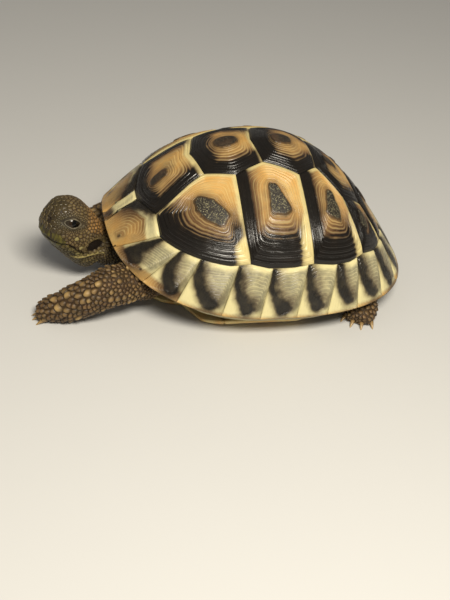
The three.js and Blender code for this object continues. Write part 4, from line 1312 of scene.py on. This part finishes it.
class Reading:
    """A number read from a shader socket, which takes part in Python arithmetic."""

    def __init__(self, finish, socket):
        self.finish = finish
        self.socket = socket

    def __add__(self, other):
        return self.finish.math("ADD", self, other)

    def __sub__(self, other):
        return self.finish.math("SUBTRACT", self, other)

    def __rsub__(self, other):
        return self.finish.math("SUBTRACT", other, self)

    def __mul__(self, other):
        return self.finish.math("MULTIPLY", self, other)

    def __pow__(self, other):
        return self.finish.math("POWER", self, other)

    __radd__ = __add__
    __rmul__ = __mul__

    def sine(self):
        return self.finish.math("SINE", self)

    def larger(self, other):
        return self.finish.math("MAXIMUM", self, other)

    def smaller(self, other):
        return self.finish.math("MINIMUM", self, other)

    def step(self, low, high):
        """0 below low, 1 above high and smooth between."""
        values = {"Value": self, "From Min": low, "From Max": high}
        return self.finish.read("ShaderNodeMapRange", values, {"interpolation_type": "SMOOTHSTEP"})


class Finish:
    """A material made of one principled shader and the expressions that feed it."""

    def __init__(self, name, **constants):
        self.material = bpy.data.materials.new(name)
        self.material.use_nodes = True
        self.tree = self.material.node_tree
        self.tree.nodes.clear()
        constants = {socket.replace("_", " "): value for socket, value in constants.items()}
        self.shader = self.node("ShaderNodeBsdfPrincipled", constants)
        self.node("ShaderNodeOutputMaterial", {"Surface": self.shader.outputs[0]})
        self.place = self.node("ShaderNodeTexCoord").outputs["Object"]

    def node(self, kind, values=None, settings=None):
        """A node of this type: its settings first, then a value or a link for each socket."""
        made = self.tree.nodes.new(kind)
        for setting, value in (settings or {}).items():
            setattr(made, setting, value)
        for socket, value in (values or {}).items():
            self.feed(made.inputs[socket], value)
        return made

    def feed(self, socket, value):
        """Links a reading or another socket, or sets a number or a colour."""
        value = value.socket if isinstance(value, Reading) else value
        if isinstance(value, bpy.types.NodeSocket):
            self.tree.links.new(value, socket)
        elif hasattr(socket.default_value, "__len__") and len(value) < len(socket.default_value):
            socket.default_value = (*value, 1.0)
        else:
            socket.default_value = value

    def read(self, kind, values=None, settings=None, output=0):
        """A reading of one output of a node."""
        return Reading(self, self.node(kind, values, settings).outputs[output])

    def math(self, operation, *values):
        """A Math node's result."""
        return self.read("ShaderNodeMath", dict(enumerate(values)), {"operation": operation})

    def field(self, name):
        """A number that the mesh carries at each of its points."""
        return self.read("ShaderNodeAttribute", settings={"attribute_name": name}, output="Fac")

    def noise(self, size, detail, stretch=None):
        """Noise about 0 with bumps of this size in millimetres."""
        place = self.place
        if stretch:
            stretched = self.node("ShaderNodeVectorMath", {0: place, 1: stretch}, {"operation": "MULTIPLY"})
            place = stretched.outputs[0]
        values = {"Vector": place, "Scale": 1 / (size * MM), "Detail": detail, "Roughness": 0.55}
        return self.read("ShaderNodeTexNoise", values) - 0.5

    def cells(self, size):
        """Distance to the nearest of points about this many millimetres apart, as a share of that."""
        values = {"Vector": self.place, "Scale": 1 / (size * MM)}
        return self.read("ShaderNodeTexVoronoi", values, output="Distance")

    def mix(self, share, first, second):
        """A colour between two colours."""
        settings = {"data_type": "RGBA", "clamp_factor": True}
        return self.node("ShaderNodeMix", {0: share, 6: first, 7: second}, settings).outputs[2]

    def colour(self, value):
        """Sets the surface's colour."""
        self.feed(self.shader.inputs["Base Color"], value)

    def roughness(self, value):
        """Sets how dull the surface is, 0 being a mirror."""
        self.feed(self.shader.inputs["Roughness"], value)

    def bump(self, height, depth):
        """Fine relief of this depth in millimetres."""
        made = self.node("ShaderNodeBump", {"Height": height, "Distance": depth * MM, "Strength": 1.0})
        self.feed(self.shader.inputs["Normal"], made.outputs[0])


# ---------------------------------------------------------------- what a user would change


class TortoiseSizes(bpy.types.PropertyGroup):
    ring_relief: bpy.props.FloatProperty(
        name="Ring relief", description="Depth of the growth rings, 1 being natural", default=1.0,
        min=0, max=2, subtype="FACTOR")
    scale_height: bpy.props.FloatProperty(
        name="Scale height", description="Height of the scales, 1 being natural", default=1.0,
        min=0, max=2, subtype="FACTOR")
    claw_length: bpy.props.FloatProperty(
        name="Claw length", description="Length of a claw and its root in millimetres", default=4.0,
        min=1.5, max=6)


def colour_property(name, description, default):
    """A colour that a user can pick."""
    return bpy.props.FloatVectorProperty(
        name=name, description=description, subtype="COLOR", size=3, min=0, max=1, default=default)


class ShellColours(bpy.types.PropertyGroup):
    ochre: colour_property("Ochre", "Horn between the areola and the black", (0.58, 0.33, 0.095))
    tan: colour_property("Tan", "Ochre as it nears the black", (0.26, 0.15, 0.06))
    pale: colour_property("Pale yellow", "Horn along the seams", (0.70, 0.58, 0.26))
    white: colour_property("Greenish white", "Top edges of the marginals", (0.72, 0.655, 0.36))
    cream: colour_property("Greenish cream", "Horn in the middle of a marginal", (0.27, 0.245, 0.15))
    black: colour_property("Black", "Pigment of the rings and bands", (0.007, 0.0055, 0.004))
    brown: colour_property("Brown", "Where the black thins out", (0.07, 0.036, 0.018))
    areola: colour_property("Areola", "The grained middle of a scute", (0.016, 0.012, 0.008))


class SkinColours(bpy.types.PropertyGroup):
    olive: colour_property("Olive", "Skin of the head", (0.155, 0.106, 0.045))
    brown: colour_property("Brown", "Skin and small scales of the limbs", (0.105, 0.056, 0.024))
    buff: colour_property("Buff", "Large scales of the limbs", (0.40, 0.265, 0.10))
    ochre: colour_property("Nape ochre", "Skin and scales of the nape", (0.42, 0.22, 0.065))
    jaw: colour_property("Jaw", "Skin and scales of the lower jaw and the cheek", (0.12, 0.095, 0.025))
    throat: colour_property("Throat", "Loose skin of the throat", (0.19, 0.15, 0.062))
    snout: colour_property("Snout", "Plates on the top of the snout", (0.028, 0.02, 0.012))
    beak: colour_property("Beak", "Horny edges of the jaws", (0.105, 0.092, 0.02))
    lid: colour_property("Lid", "Rims of the eyelids", (0.21, 0.19, 0.135))
    grey: colour_property("Grey", "Smooth skin round the eye", (0.055, 0.052, 0.034))
    # Dark is the eardrum's and the scale edges' own colour, and also painted shade between the scales, along
    # the mouth, in the eye sockets and under the neck.
    dark: colour_property("Dark", "Creases, eardrum and the edges of the scales", (0.014, 0.010, 0.007))
    yellow: colour_property("Yellow", "Spots along the jaw", (0.56, 0.47, 0.18))
    iris: colour_property("Iris", "Eye round the pupil", (0.013, 0.008, 0.005))


class LightSettings(bpy.types.PropertyGroup):
    key: bpy.props.FloatProperty(
        name="Key light", description="Power of the softbox above", default=3.2, min=0, unit="POWER")
    fill: bpy.props.FloatProperty(
        name="Fill", description="Strength of the light all round", default=0.2, min=0)
    lens: bpy.props.FloatProperty(
        name="Lens", description="Focal length of the camera", default=70.3, min=1, unit="CAMERA")


# ---------------------------------------------------------------- finishes


def between(first, second, share):
    """A colour between two colours, worked out here."""
    return tuple(a + (b - a) * share for a, b in zip(first, second))


def shell_finish():
    """Glossy horn: ochre with fine ring lines, black bands and rings, pale seams and a dark areola."""
    look = bpy.context.scene.shell_colours
    horn = Finish("shell horn", Specular_IOR_Level=0.42)
    ring = horn.field("ring")
    dark, pale, green = horn.field("dark"), horn.field("pale"), horn.field("green")
    ringed, streaked = horn.field("ringed"), horn.field("streaked")
    areola = horn.field("areola")
    wobble = horn.noise(4.0, 3)
    fine = horn.noise(0.35, 3)
    patches = horn.noise(5.0, 3) + 0.5
    stripe = (ring * (2 * math.pi) + wobble * 1.6).sine()
    hair = (ring * (6 * math.pi) + wobble * 3.0).sine()
    lines = hair.step(0.3, 1.0) * (horn.noise(5, 3) * 2.6 + 0.3).step(0.0, 1.0)

    # Ochre, browner towards the areola and the black, with fine lines.
    toward_black = dark + horn.noise(4, 3) * 3
    ochre = horn.mix(patches.step(0.35, 0.7), look.ochre, between(look.ochre, look.pale, 0.3))
    ochre = horn.mix((toward_black + 5.0).step(-1.0, 4.4) * 0.95, ochre, look.tan)
    halo = (areola + 2.6 + horn.noise(3, 3) * 3.4).step(-1.0, 2.2)
    ochre = horn.mix(halo * 0.75, ochre, between(look.tan, look.brown, 0.3))
    ochre = horn.mix((toward_black + 2.2).step(-0.8, 2.2) * 0.8, ochre, look.brown)
    ochre = horn.mix(lines * 0.4, ochre, look.brown)
    between_hairs = (hair * -1.0).step(0.5, 1.0)
    ochre = horn.mix(between_hairs * (toward_black + 4.5).step(0.0, 3.0) * 0.3, ochre, look.ochre)
    ochre = horn.mix((stripe * -1.0).step(0.4, 1.0) * (patches * 0.5), ochre, look.pale)

    # Pale seams, on the marginals greenish with streaks along the rings.
    light = horn.mix(streaked * 0.75, look.pale, look.white)
    streaks = horn.noise(1.4, 4) + lines * 0.6 - 0.1
    grey = horn.mix((patches + streaks).step(0.25, 0.85), look.cream, between(look.cream, look.white, 0.5))
    seam = horn.mix((green + horn.noise(3, 3) * 2.0).step(-0.6, 2.0), light, grey)
    seam = horn.mix(lines * (0.12 + 0.4 * green.step(0.3, 2.4)), seam, look.tan)
    seam = horn.mix(stripe.step(0.2, 1.0) * green.step(0.3, 2.4) * 0.4, seam, look.white)
    pale_edge = (pale + horn.noise(1.2, 4) * 0.8).step(-1.1, 0.4)
    base = horn.mix(pale_edge, ochre, seam)

    # Black, its edge fuzzy and following the rings.
    fuzz = 0.9 + ringed + streaked * 0.8
    dark_edge = dark + horn.noise(3.0, 5) * fuzz + (stripe * 0.65 + 0.1) * ringed
    base = horn.mix(dark_edge.step(-1.8, 0.5) * 0.75, base, look.brown)
    worn_lines = ringed * (1.6 - dark).step(0.0, 1.6) * 0.4 + streaked * 0.22 + 0.12
    solid = 1 - lines * worn_lines - streaked * 0.02
    base = horn.mix(dark_edge.step(-0.4, 0.7) * solid, base, look.black)

    # The areola: dark and grained, with pale specks that are partly grains and partly painted glints, or
    # worn brown, and a darker rim round it that is painted shade along its raised edge.
    speckled = horn.field("speckled")
    outer = areola + horn.noise(2.0, 4) * 1.2
    middle = outer.step(-0.1, 0.3)
    grain = horn.cells(0.42)
    # Pale specks: partly the areola's grains, partly painted glints.
    specks_and_painted_glints = (0.42 - grain).step(0.0, 0.14) * (horn.noise(1.2, 2) * 2.4 + 0.6) * speckled
    worn = horn.mix((1 - speckled) * patches.step(0.3, 0.7), look.areola, look.brown)
    core = horn.mix(specks_and_painted_glints * 0.75, worn, between(look.cream, look.white, 0.4))
    # Painted shade: a darker rim round the areola along its raised edge.
    base = horn.mix((outer + 0.5).step(-0.25, 0.35) * 0.75, base, look.areola)
    base = horn.mix(middle, base, core)
    horn.colour(base)
    dull = middle * 0.25 + fine * 0.14 + 0.26 + patches * 0.06
    horn.roughness(dull - dark_edge.step(-0.4, 0.7) * 0.08)
    horn.bump(hair * 0.4 * (1 - middle) + fine * 0.35 + specks_and_painted_glints * middle * 1.2, 0.07)


def belly_finish():
    """Duller horn under the body: yellow with black patches."""
    look = bpy.context.scene.shell_colours
    horn = Finish("belly horn", Specular_IOR_Level=0.45)
    ring = horn.field("ring")
    lines = (ring * (4 * math.pi) + horn.noise(3, 3) * 3).sine().step(0.3, 0.95)
    yellow = horn.mix((horn.noise(5, 4) + 0.5).step(0.3, 0.7), look.pale, look.ochre)
    yellow = horn.mix(lines * 0.3, yellow, look.brown)
    dark = horn.field("dark") + horn.noise(4, 5) * 3.4
    base = horn.mix(dark.step(-1.0, 0.4) * 0.8, yellow, look.brown)
    horn.colour(horn.mix(dark.step(-0.2, 0.9), base, look.black))
    horn.roughness(horn.noise(1.0, 3) * 0.2 + 0.46)
    horn.bump(horn.noise(0.5, 4) + lines * 0.2, 0.06)


def skin_colour(look, made):
    """The colour that the skin and its scales share, from the fields that both carry."""
    cloud = made.noise(3.0, 4)
    limb = made.mix((cloud + 0.5).step(0.3, 0.75), look.brown, between(look.brown, look.olive, 0.6))
    olive = made.mix((cloud + 0.5).step(0.3, 0.7), look.olive, between(look.olive, look.brown, 0.6))
    base = made.mix(made.field("limb"), olive, limb)
    base = made.mix((made.noise(2.4, 3) * -1.0).step(-0.05, 0.3) * 0.4, base, look.dark)
    base = made.mix(made.field("nape") * (made.noise(1.5, 3) * 1.2 + 0.62).smaller(1.0), base, look.ochre)
    # Painted shade of the shell on the lower side of the neck, on the skin and on its scales.
    base = made.mix(made.field("under"), base, look.dark)
    base = made.mix(made.field("jaw") * 0.8, base, look.jaw)
    base = made.mix(made.field("throat") * 0.8, base, look.throat)
    base = made.mix(made.field("snout") * 0.85, base, look.snout)
    base = made.mix(made.field("round_eye") * 0.5, base, look.grey)
    base = made.mix(made.field("spot") * 0.85, base, look.yellow)
    base = made.mix(made.field("drum"), base, look.dark)
    base = made.mix(made.field("fold") * 0.8, base, between(look.throat, look.yellow, 0.35))
    return made.mix(made.field("drum_rim") * 0.7, base, look.throat)


def skin_finish():
    """Creased skin between the scales, darkened there, along the mouth and in the eye sockets as painted
    shade, with the horny beak, the lids and the eardrum.
    """
    look = bpy.context.scene.skin_colours
    skin = Finish("creased skin", Specular_IOR_Level=0.2)
    base = skin_colour(look, skin)
    # Painted shade: the skin in the gaps between the scales is darkened, though not on the beak, the lids,
    # the eardrum's rim or the throat fold.
    painted_gap_shade = skin.mix(0.62, base, look.dark)
    bare = skin.field("beak").larger(skin.field("lid"))
    bare = bare.larger(skin.field("drum_rim")).larger(skin.field("fold")).smaller(1.0)
    base = skin.mix(bare, painted_gap_shade, base)
    base = skin.mix(skin.field("fold") * 0.4, base, look.yellow)
    streak = skin.noise(1.0, 4, stretch=(1.0, 1.0, 0.35))
    beak = skin.mix((streak + 0.5).step(0.35, 0.65), look.beak, look.snout)
    base = skin.mix(skin.field("beak"), base, beak)
    base = skin.mix(skin.field("lid") * (skin.noise(0.7, 3) * 1.2 + 0.62), base, look.lid)
    # Painted shade in the groove of the mouth and in the sockets behind the lids.
    base = skin.mix(skin.field("mouth").smaller(1.0) * 0.9, base, look.dark)
    base = skin.mix(skin.field("socket"), base, look.dark)
    skin.colour(base)
    skin.roughness(0.5 - skin.field("beak") * 0.2 + skin.noise(0.8, 3) * 0.2)
    skin.bump(skin.noise(0.35, 5) + skin.cells(0.45) * 0.6 * (1 - bare), 0.12)


def scale_finish():
    """Horny scales: darker at their edges, the large ones buff."""
    look = bpy.context.scene.skin_colours
    scale = Finish("horny scale", Specular_IOR_Level=0.3)
    base = skin_colour(look, scale)
    shade, limb, nape, rim = (scale.field(name) for name in ("shade", "limb", "nape", "rim"))
    buff = (scale.field("large") - 1.6).step(0.0, 1.2).larger((shade - 0.95).step(0.0, 0.03) * 0.7)
    snout = scale.field("snout")
    middle = 1 - rim.step(0.3, 0.95)
    base = scale.mix(shade * 0.6, base, look.dark)
    base = scale.mix(buff * limb * (0.2 + middle * 0.7), base, look.buff)
    base = scale.mix(middle * limb * (0.42 - shade * 0.3), base, between(look.buff, look.brown, 0.5))
    pale_middle = scale.mix(nape, look.throat, look.ochre)
    base = scale.mix(middle * (1 - limb) * (1 - snout * 0.7) * (0.55 - shade * 0.35), base, pale_middle)
    edge = rim.step(0.6, 1.0) * (1 - buff * 0.5)
    base = scale.mix(edge * (0.6 + limb * 0.05 + nape * 0.2) * (1 - snout), base, look.dark)
    base = scale.mix(edge * snout * 0.45, base, look.throat)
    scale.colour(base)
    scale.roughness(0.46 + scale.noise(0.6, 3) * 0.2 - snout * 0.22)
    scale.bump(scale.noise(0.25, 4), 0.05)


def eye_finish():
    """A wet eye: black pupil, dark iris and a paler ring round it."""
    look = bpy.context.scene.skin_colours
    eye = Finish("glossy eye", Roughness=0.16, Specular_IOR_Level=0.3)
    fleck = eye.noise(0.4, 3)
    base = eye.mix((fleck + 0.5).step(0.3, 0.7), look.iris, between(look.iris, look.ochre, 0.035))
    base = eye.mix((eye.field("iris") * -1.0).step(-0.1, 0.4), base, between(look.iris, look.lid, 0.08))
    eye.colour(eye.mix(eye.field("pupil").step(-0.06, 0.06), base, (0.002, 0.002, 0.002)))


def claw_finish():
    """Streaked horn, paler towards the tip."""
    look = bpy.context.scene.skin_colours
    claw_look = Finish("claw horn", Specular_IOR_Level=0.5)
    streak = claw_look.noise(0.8, 4)
    base = claw_look.mix(claw_look.field("tip") + streak * 0.5, look.brown, look.buff)
    claw_look.colour(base)
    claw_look.roughness(streak * 0.2 + 0.32)
    claw_look.bump(streak, 0.05)


def stage_finish():
    """A plain pale floor."""
    floor = Finish("studio floor")
    floor.colour(floor.mix((floor.noise(60, 2) + 0.5) * 0.2, (0.60, 0.60, 0.59), (0.57, 0.57, 0.56)))
    floor.roughness(floor.noise(20, 2) * 0.1 + 0.7)


# ---------------------------------------------------------------- operators

SIDES = (("left", False), ("right", True))  # each side's name, and whether it is mirrored


class TORTOISE_OT_finishes(bpy.types.Operator):
    """Make every material of the tortoise and of the stage"""

    bl_idname = "tortoise.finishes"
    bl_label = "Finishes"

    def execute(self, context):
        shell_finish()
        belly_finish()
        skin_finish()
        scale_finish()
        eye_finish()
        claw_finish()
        stage_finish()
        return {"FINISHED"}


class TORTOISE_OT_dome(bpy.types.Operator):
    """Make the vertebral and costal scutes of the dome"""

    bl_idname = "tortoise.dome"
    bl_label = "Dome scutes"

    def execute(self, context):
        relief = context.scene.tortoise_sizes.ring_relief
        for i, (edges, mark) in enumerate(zip(vertebral_edges(), VERTEBRAL_MARKS), 1):
            left, back, *areola = AREOLA[f"v{i}"]
            scute(f"vertebral_{i}", edges, (left, back), vertebral_fields(mark), relief, i * 11,
                  areola=areola)
        for i, (edges, mark) in enumerate(zip(costal_edges(), COSTAL_MARKS), 1):
            left, back, *areola = AREOLA[f"c{i}"]
            for side, mirror in SIDES:
                scute(f"costal_{side}_{i}", edges, (left, back), costal_fields(mark), relief,
                      i * 17 + mirror * 5, mirror=mirror, areola=areola)
        return {"FINISHED"}


class TORTOISE_OT_ring(bpy.types.Operator):
    """Make the nuchal, the marginals and the supracaudals round the rim"""

    bl_idname = "tortoise.ring"
    bl_label = "Marginal ring"

    def execute(self, context):
        relief = context.scene.tortoise_sizes.ring_relief
        first = MARGINAL_SEAMS[0]
        marginal("nuchal", (-first[0], -first[1]), first, NUCHAL_MARKS, relief, 3)
        for i, (start, end, marks) in enumerate(zip(MARGINAL_SEAMS, MARGINAL_SEAMS[1:], MARGINAL_MARKS), 1):
            for side, mirror in SIDES:
                last = i == len(MARGINAL_MARKS)
                name = f"supracaudal_{side}" if last else f"marginal_{side}_{i}"
                marginal(name, start, end, marks, relief, i * 7 + mirror * 3, mirror)
        return {"FINISHED"}


class TORTOISE_OT_plastron(bpy.types.Operator):
    """Make the scutes of the plastron"""

    bl_idname = "tortoise.plastron"
    bl_label = "Plastron scutes"

    def execute(self, context):
        relief = BELLY_RELIEF * context.scene.tortoise_sizes.ring_relief
        for i, (name, outline) in enumerate(PLASTRON.items()):
            points = np.array(outline, float)
            middle = points.mean(axis=0)
            points = np.concatenate([points, points[:1]])
            # The edge on the midline counts as the front one, and all others as the side.
            edges = [("side" if a[0] + b[0] > 0.1 else "front", np.array([a, b]))
                     for a, b in zip(points, points[1:])]
            for side, mirror in SIDES:
                scute(f"{name}_{side}", edges, middle, belly_fields, relief, 200 + i * 3 + mirror,
                      surface=plastron_surface, rings=9, spacing=1.2, thickness=BELLY_THICKNESS,
                      mirror=mirror, finish="belly horn")
        return {"FINISHED"}


class TORTOISE_OT_skin(bpy.types.Operator):
    """Make one skin over the head, neck, legs, tail and trunk, with the scales on it"""

    bl_idname = "tortoise.skin"
    bl_label = "Skin and scales"

    def execute(self, context):
        height = context.scene.tortoise_sizes.scale_height
        mesh = skin_mesh()
        places, normals = mesh_arrays(mesh)
        areas = vertex_areas(mesh)
        where, along, _, _ = nearest_limb(places)
        marks = skin_marks(places, where)
        faces = [tuple(face.vertices) for face in mesh.polygons]
        mesh_piece("skin", places, faces, "creased skin", marks, FLESH)
        tree = BVHTree.FromPolygons(places.tolist(), faces)
        width = scale_width(places, where, along, marks, 5)
        for number, name in enumerate(["trunk", "head", *LIMBS]):
            here = (where == name) & (width < FAR)
            points, wide = spread(places[here], areas[here], width[here], number)
            found = [tree.find_nearest(point) for point in points]
            points = np.array([tuple(hit[0]) for hit in found])
            facing = np.array([tuple(normals[faces[hit[2]][0]]) for hit in found])
            _, far_along, round_it, lie = nearest_limb(points)
            root = np.stack([far_along, round_it], axis=-1)
            form = SCALE_FORM.get(name.split("_")[0], PLAIN_SCALE)
            scale_piece(f"scales_{name}", tree, points, unit(facing), lie, wide, root,
                        skin_marks(points, np.full(len(points), name)), number, form, height)
        return {"FINISHED"}


class TORTOISE_OT_eyes(bpy.types.Operator):
    """Make both eyes"""

    bl_idname = "tortoise.eyes"
    bl_label = "Eyes"

    def execute(self, context):
        for side in (1, -1):
            eyeball(side)
        return {"FINISHED"}


class TORTOISE_OT_claws(bpy.types.Operator):
    """Make the claws of the four feet"""

    bl_idname = "tortoise.claws"
    bl_label = "Claws"

    def execute(self, context):
        length = context.scene.tortoise_sizes.claw_length
        for limb, stations in LIMBS.items():
            count, spread_out = CLAWS.get(limb.split("_")[0], (0, 0))
            for i in range(count):
                share = i / (count - 1) * 2 - 1
                moved = (-2 * share * share, share * stations[-1][3] * 1.12)
                claw(f"claw_{limb}_{i + 1}", limb, length, share * math.radians(spread_out), moved)
        return {"FINISHED"}


CAMERA_PLACE = (327.13, -78.64, 228.88)  # in millimetres from the middle of the box, the turns in degrees
CAMERA_AZIMUTH = 75.52
CAMERA_ELEVATION = 35.52
CAMERA_ROLL = 5.98
FLOOR_REACH = 6.0  # metres, as the softbox's measures are
SOFTBOX = {"place": (0.32, 0.0, 0.40), "aim": (0, 0, 0.02), "long": 0.2, "wide": 0.12}
SOFTBOX_LIGHT = (1.0, 0.93, 0.80)
ROOM_LIGHT = (1.0, 0.96, 0.90, 1)


class TORTOISE_OT_stage(bpy.types.Operator):
    """Make the floor, the lights and the camera"""

    bl_idname = "tortoise.stage"
    bl_label = "Stage"

    def execute(self, context):
        scene = context.scene
        lights = scene.tortoise_lights
        mesh = bpy.data.meshes.new("floor")
        signs = ((-1, -1), (1, -1), (1, 1), (-1, 1))
        mesh.from_pydata([(x * FLOOR_REACH, y * FLOOR_REACH, 0) for x, y in signs], [], [(0, 1, 2, 3)])
        mesh.materials.append(bpy.data.materials["studio floor"])
        floor = bpy.data.objects.new("floor", mesh)
        scene.collection.objects.link(floor)

        softbox = bpy.data.lights.new("softbox", "AREA")
        softbox.shape = "RECTANGLE"
        softbox.size, softbox.size_y = SOFTBOX["long"], SOFTBOX["wide"]
        softbox.energy = lights.key
        softbox.color = SOFTBOX_LIGHT
        holder = bpy.data.objects.new("softbox", softbox)
        holder.location = SOFTBOX["place"]
        beam = Vector(SOFTBOX["aim"]) - holder.location
        holder.rotation_euler = beam.to_track_quat("-Z", "Y").to_euler()
        scene.collection.objects.link(holder)

        world = bpy.data.worlds.new("studio")
        world.use_nodes = True
        background = world.node_tree.nodes["Background"]
        background.inputs["Color"].default_value = ROOM_LIGHT
        background.inputs["Strength"].default_value = lights.fill
        scene.world = world
        scene.view_settings.view_transform = "Standard"

        azimuth, elevation, roll = map(math.radians, (CAMERA_AZIMUTH, CAMERA_ELEVATION, CAMERA_ROLL))
        back = Vector((math.sin(azimuth) * math.cos(elevation), -math.cos(azimuth) * math.cos(elevation),
                       math.sin(elevation)))
        level = Vector((math.cos(azimuth), math.sin(azimuth), 0))
        right = level * math.cos(roll) + back.cross(level) * math.sin(roll)
        lens = bpy.data.cameras.new("camera")
        lens.lens = lights.lens
        lens.clip_start, lens.clip_end = 0.01, 20
        camera = bpy.data.objects.new("camera", lens)
        turn = Matrix((right, back.cross(right), back)).transposed()
        camera.matrix_world = Matrix.Translation(Vector(CAMERA_PLACE) * MM) @ turn.to_4x4()
        scene.collection.objects.link(camera)
        scene.camera = camera
        return {"FINISHED"}


class TORTOISE_PT_panel(bpy.types.Panel):
    """The tortoise's sizes, colours and pieces"""

    bl_idname = "TORTOISE_PT_panel"
    bl_label = "Tortoise"
    bl_space_type = "VIEW_3D"
    bl_region_type = "UI"
    bl_category = "Tortoise"

    def draw(self, context):
        for group_name in GROUPS:
            group = getattr(context.scene, group_name)
            for name in group.__annotations__:
                self.layout.prop(group, name)
        for operator in OPERATORS:
            self.layout.operator(operator.bl_idname)


GROUPS = {"tortoise_sizes": TortoiseSizes, "shell_colours": ShellColours, "skin_colours": SkinColours,
          "tortoise_lights": LightSettings}
OPERATORS = (TORTOISE_OT_finishes, TORTOISE_OT_stage, TORTOISE_OT_dome, TORTOISE_OT_ring,
             TORTOISE_OT_plastron, TORTOISE_OT_skin, TORTOISE_OT_eyes, TORTOISE_OT_claws)


def register():
    """Add the settings, the operators and the panel."""
    for name, group in GROUPS.items():
        bpy.utils.register_class(group)
        setattr(bpy.types.Scene, name, bpy.props.PointerProperty(type=group))
    for made in (*OPERATORS, TORTOISE_PT_panel):
        bpy.utils.register_class(made)


def unregister():
    """Take them away again."""
    for made in (TORTOISE_PT_panel, *reversed(OPERATORS)):
        bpy.utils.unregister_class(made)
    for name, group in GROUPS.items():
        delattr(bpy.types.Scene, name)
        bpy.utils.unregister_class(group)


def main():
    """Build the tortoise and its stage."""
    register()
    for operator in OPERATORS:
        getattr(bpy.ops.tortoise, operator.bl_idname.split(".")[1])()


if __name__ == "__main__":
    main()
